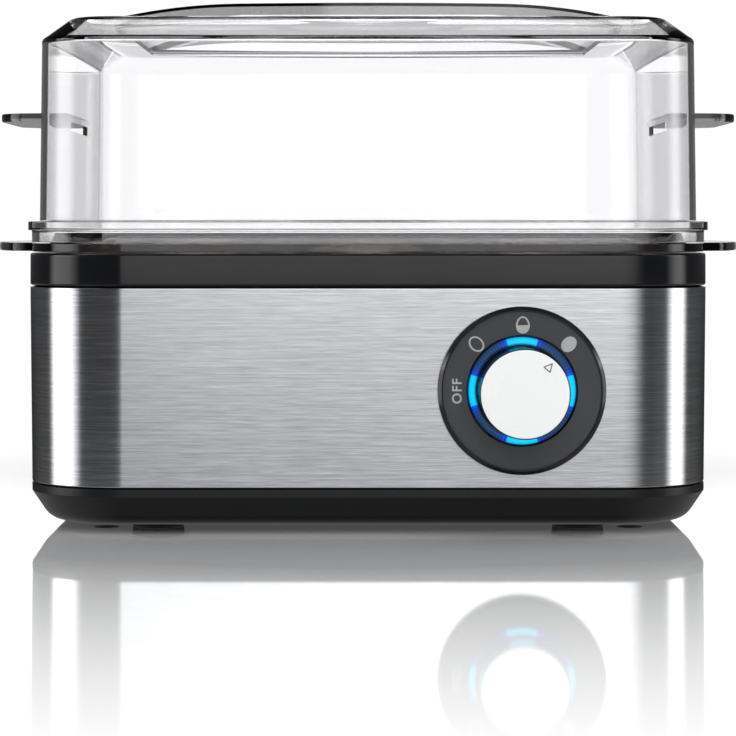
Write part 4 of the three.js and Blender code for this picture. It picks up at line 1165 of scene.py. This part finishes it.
def by_turn(tree, aside, first, second, start, end):
    """One brightness up to a turn from the front in degrees, and another from a further turn on."""
    limits = {"Value": aside, "From Min": math.radians(start), "From Max": math.radians(end)}
    share = add_node(tree, "ShaderNodeMapRange", limits)
    mixed = add_node(tree, "ShaderNodeMix", {"Factor": share, MIX_A: first, MIX_B: second}, data_type="RGBA")
    return mixed.outputs[MIX_RESULT]


def make_world():
    """White to rays that were never mirrored; mirrored ones see softboxes and dark stretches between them."""
    world = bpy.data.worlds.new("studio")
    bpy.context.scene.world = world
    world.use_nodes = True
    tree = world.node_tree
    tree.nodes.clear()
    way = add_node(tree, "ShaderNodeTexCoord").outputs["Generated"]
    right, rear, climb = add_node(tree, "ShaderNodeSeparateXYZ", {"Vector": way}).outputs
    front = add_node(tree, "ShaderNodeMath", {0: rear, 1: -1}, operation="MULTIPLY")
    angle = add_node(tree, "ShaderNodeMath", {0: right, 1: front}, operation="ARCTAN2")
    share = add_node(tree, "ShaderNodeMapRange", {"Value": angle, "From Min": -math.pi, "From Max": math.pi})
    stops = [((turn + 180) / 360, (level, level, 1.01 * level, 1)) for turn, level in ROUND]
    level = add_node(tree, "ShaderNodeValToRGB", {"Fac": share}, stops).outputs["Color"]
    aside = add_node(tree, "ShaderNodeMath", {0: angle}, operation="ABSOLUTE")
    low = by_turn(tree, aside, by_climb(tree, climb, 0.5, FRONT_LOW), WHITE, 50, 60)
    high = by_climb(tree, climb, 0.5, FRONT_HIGH)
    high = by_turn(tree, aside, high, by_climb(tree, climb, 1, BEHIND), 120, 150)
    for part in (low, high):
        links = {"Factor": 1, MIX_A: level, MIX_B: part}
        product = add_node(tree, "ShaderNodeMix", links, data_type="RGBA", blend_type="MULTIPLY")
        level = product.outputs[MIX_RESULT]
    # Lower down, mirrored rays see the pale tabletop, and straight down the dusk under the boiler
    down = add_node(tree, "ShaderNodeMapRange", {"Value": climb, "From Min": -0.15, "From Max": -0.27})
    limits = {"Value": climb, "From Min": -0.97, "From Max": -0.88, "To Min": 0.08, "To Max": 0.46}
    dusk = add_node(tree, "ShaderNodeMapRange", limits)
    ground = add_node(tree, "ShaderNodeMix", {"Factor": down, MIX_A: level, MIX_B: dusk}, data_type="RGBA")
    path = add_node(tree, "ShaderNodeLightPath").outputs
    links = {0: path["Is Camera Ray"], 1: path["Is Transmission Ray"]}
    seen = add_node(tree, "ShaderNodeMath", links, operation="MAXIMUM")
    plain = add_node(tree, "ShaderNodeMath", {0: path["Glossy Depth"], 1: 0.5}, operation="LESS_THAN")
    straight = add_node(tree, "ShaderNodeMath", {0: seen, 1: plain}, operation="MULTIPLY")
    links = {"Factor": straight, MIX_A: ground.outputs[MIX_RESULT], MIX_B: (1.03, 1.03, 1.03, 1)}
    mixed = add_node(tree, "ShaderNodeMix", links, data_type="RGBA")
    background = add_node(tree, "ShaderNodeBackground", {"Color": mixed.outputs[MIX_RESULT], "Strength": 1})
    add_node(tree, "ShaderNodeOutputWorld", {"Surface": background})


make_floor()
make_world()
softbox("overhead", (0, -0.1, 1.1), (0, 0, 0), width=1.4, height=1.4, power=19)
softbox("front_fill", (0, -1.5, 0.9), (0, 0, 0.05), width=1.0, height=0.6, power=8)
